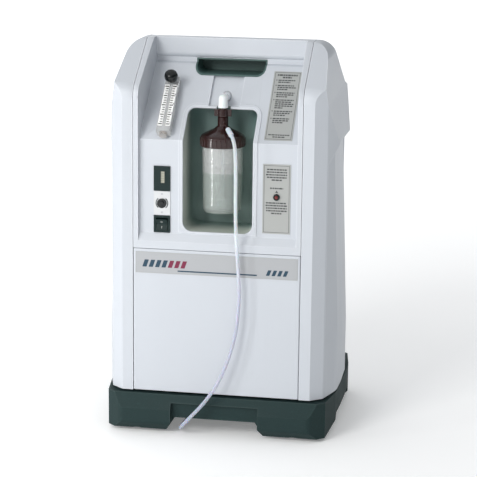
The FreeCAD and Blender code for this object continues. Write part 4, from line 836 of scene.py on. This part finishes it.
def add_well_trim():
    """A white strip over the tub's lip, open at the notch over the bottle."""
    low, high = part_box("humidifier_well")
    half = (high.x - low.x) / 2
    path = [(NOTCH_HALF, high.z, 0, -1)]
    corners = [(1, high.z, -1, WELL_TOP_ROUND, 90), (1, low.z, 1, WELL_LOW_ROUND, 0),
               (-1, low.z, 1, WELL_LOW_ROUND, -90), (-1, high.z, -1, WELL_TOP_ROUND, -180)]
    for side, edge, inward, radius, first in corners:
        middle_x = side * (half - radius)
        middle_z = edge + inward * radius
        arc = []
        for step in range(9):
            angle = math.radians(first - 90 * step / 8)
            nx, nz = math.cos(angle), math.sin(angle)
            arc.append((middle_x + nx * radius, middle_z + nz * radius, -nx, -nz))
        if inward > 0 and side > 0:
            path.append((half, KINK_Z, -1, 0))
        if inward < 0 and side < 0:
            path.append((-half, KINK_Z, 1, 0))
        path += arc
    path.append((-NOTCH_HALF, high.z, 0, -1))
    verts = []
    faces = []
    count = len(TRIM_SECTION)
    for x, z, nx, nz in path:
        for inset, out in TRIM_SECTION:
            verts.append(on_panel(x + nx * inset, z + nz * inset, out))
    for row in range(len(path) - 1):
        for index in range(count):
            following = (index + 1) % count
            faces.append((row * count + index, row * count + following,
                          (row + 1) * count + following, (row + 1) * count + index))
    faces.append(tuple(range(count)))
    faces.append(tuple((len(path) - 1) * count + index for index in reversed(range(count))))
    mesh_piece("well_trim", verts, faces, "cabinet_shell")


# ---------------------------------------------------------------- controls

METER_FRONT = 0.017
SCALE_FOOT = 0.018
SCALE_HEAD = 0.108
SCALE_MARGIN = 0.004
SCALE_GAP = 0.0036
SCALE_STEPS = 16
ARC_INNER = 0.0098
ARC_OUTER = 0.0114
RIVET_OUT = 0.0165
RIVET_RADIUS = 0.0019
ROCKER_PIVOT_IN = 0.003
ROCKER_TIP = math.radians(8)
VALLEY_OUT = 0.0012
CREST_OUT = 0.0048
CREST_UP = 0.0097


def arc_outline(centre, inner, outer, start, end, steps=14):
    """A curved band between two radii, from one angle to another in degrees."""
    points = []
    for radius, angles in ((outer, range(steps + 1)), (inner, reversed(range(steps + 1)))):
        for step in angles:
            angle = math.radians(start + (end - start) * step / steps)
            points.append((centre[0] + radius * math.cos(angle), centre[1] + radius * math.sin(angle)))
    return points


def digit(text, placement, at, size, material):
    """One printed digit of a scale as a thin mesh."""
    data = bpy.data.curves.new("digit", "FONT")
    data.body = text
    data.size = size
    data.align_x = "CENTER"
    data.align_y = "CENTER"
    data.extrude = PRINT / 2
    maker = bpy.data.objects.new("digit", data)
    mesh = bpy.data.meshes.new_from_object(maker)
    bpy.data.objects.remove(maker)
    mesh.transform(placement @ Matrix.Translation((at[0], at[1], PRINT / 2)))
    mesh.materials.clear()
    mesh.materials.append(MATERIALS[material])
    piece = bpy.data.objects.new("scale_digit_" + text, mesh)
    bpy.context.scene.collection.objects.link(piece)
    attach(piece, "root")


def add_flow_scale():
    """The scale on the face of the flowmeter: white strips, black lines and the numbers 1 to 5, and a white
    plate behind the bore as a painted highlight.
    """
    low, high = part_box("flowmeter_body")
    middle = (low.x + high.x) / 2
    half = (high.x - low.x) / 2
    face = incline(METER_FRONT)
    ink = incline(METER_FRONT + PRINT)
    near = 0.0030
    far = half - 0.0008
    strips = [rect(middle - far, middle - near, SCALE_FOOT, SCALE_HEAD),
              rect(middle + near, middle + far, SCALE_FOOT, SCALE_HEAD)]
    plates("flow_scale_strips", face, strips, PRINT, "print_white")
    # Painted highlight: a white plate behind the clear bore stands for the bright highlight down the middle
    # of the tube.
    bore_highlight_strip = [rect(middle - SCALE_GAP, middle + SCALE_GAP, 0.012, 0.112)]
    plates("flow_bore_highlight", incline(0.0002), bore_highlight_strip, 0.0005, "print_white")
    first = SCALE_FOOT + SCALE_MARGIN
    span = SCALE_HEAD - SCALE_FOOT - 2 * SCALE_MARGIN
    lines = []
    for index in range(SCALE_STEPS + 1):
        up = first + span * index / SCALE_STEPS
        long = index % 4 == 0
        reach = 0.0064 if long else 0.0046
        thick = 0.0021 if long else 0.0017
        lines.append(rect(middle - SCALE_GAP - reach, middle - SCALE_GAP, up - thick / 2, up + thick / 2))
        lines.append(rect(middle + SCALE_GAP, middle + SCALE_GAP + reach, up - thick / 2, up + thick / 2))
    plates("flow_scale_lines", ink, lines, PRINT, "float_black")
    for number in range(1, 6):
        up = first + span * (number - 1) / 4
        digit(str(number), ink, (middle + half - 0.0019, up + 0.0032), 0.0052, "float_black")


def add_breaker_marks():
    """Two curved marks on the silver plate round the reset button, and its two rivets."""
    low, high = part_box("breaker_plate")
    centre = ((low.x + high.x) / 2, (low.z + high.z) / 2)
    face = plane_at(Vector((0, low.y, 0)), UP, OUT)
    arcs = [arc_outline(centre, ARC_INNER, ARC_OUTER, first, first + 104) for first in (-52, 128)]
    plates("breaker_arcs", face, arcs, PRINT, "dark_control")
    rivets = [arc_outline((centre[0], centre[1] + side * RIVET_OUT), 0.0, RIVET_RADIUS, 0, 345, 24)
              for side in (-1, 1)]
    plates("breaker_rivets", face, rivets, 0.0005, "screw_steel")


def add_rocker_marks():
    """A ring and a bar on the two halves of the rocker, which ride with it."""
    low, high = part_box("power_rocker")
    middle = (low.x + high.x) / 2
    frame_low, frame_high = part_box("rocker_housing")
    centre_z = (frame_low.z + frame_high.z) / 2
    pivot = Vector((0, PANEL_Y + ROCKER_PIVOT_IN, centre_z))
    tip = Matrix.Translation(pivot) @ Matrix.Rotation(ROCKER_TIP, 4, "X") @ Matrix.Translation(-pivot)
    valley = Vector((0, PANEL_Y - VALLEY_OUT, centre_z))
    for tag, side in (("on", -1), ("off", 1)):
        crest = Vector((0, PANEL_Y - CREST_OUT, centre_z + side * CREST_UP))
        along = (crest - valley) * side
        face = tip @ plane_at((crest + valley) / 2, along, Vector((1, 0, 0)).cross(along))
        if tag == "off":
            shape = [arc_outline((middle, 0), 0.0011, 0.0019, 0, 350, 28)]
        else:
            shape = [rect(middle - 0.0005, middle + 0.0005, -0.0020, 0.0020)]
        plates("rocker_mark_" + tag, face, shape, PRINT, "label_film", "power_rocker")


def add_meter_bezel():
    """A raised frame round the hour meter's window, and the counter's divisions behind it."""
    low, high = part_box("hour_meter_window")
    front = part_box("hour_meter")[0].y
    face = plane_at(Vector((0, front, 0)), UP, OUT)
    wide = 0.0012
    plates("hour_meter_bezel", face, border(low.x - wide, high.x + wide, low.z - wide, high.z + wide, wide),
           0.0007, "dark_control")
    pitch = (high.z - low.z) / 5
    glass = plane_at(Vector((0, low.y, 0)), UP, OUT)
    levels = [low.z + pitch * index for index in range(1, 5)]
    rows = [rect(low.x + 0.0006, high.x - 0.0006, level - 0.0002, level + 0.0002) for level in levels]
    plates("hour_meter_divisions", glass, rows, PRINT, "print_grey")


# ---------------------------------------------------------------- build

SHELLS = ("left_side_shell", "right_side_shell", "front_upper_panel", "front_door")
MATERIALS = slot_materials()

add_camera()
add_supply_tube()
add_studio()
add_floor()
dress_cad_nodes(MATERIALS)
add_water()
add_jar_marks()
add_label_prints()
add_door_band_prints()
add_flow_scale()
add_breaker_marks()
add_rocker_marks()
add_meter_bezel()
add_alarm_bezel()
add_well_trim()

soften(SHELLS, 0.0022)
soften(("base_tray",), 0.0045, segments=4, angle=24)
soften(("humidifier_lid", "wing_nut", "humidifier_elbow", "flow_knob", "circuit_breaker"), 0.0005)
soften(("hour_meter", "rocker_housing", "power_rocker", "flowmeter_body", "humidifier_jar"), 0.0005)
soften(("humidifier_well", "grip_pocket", "power_inlet", "filter_grille"), 0.0008)
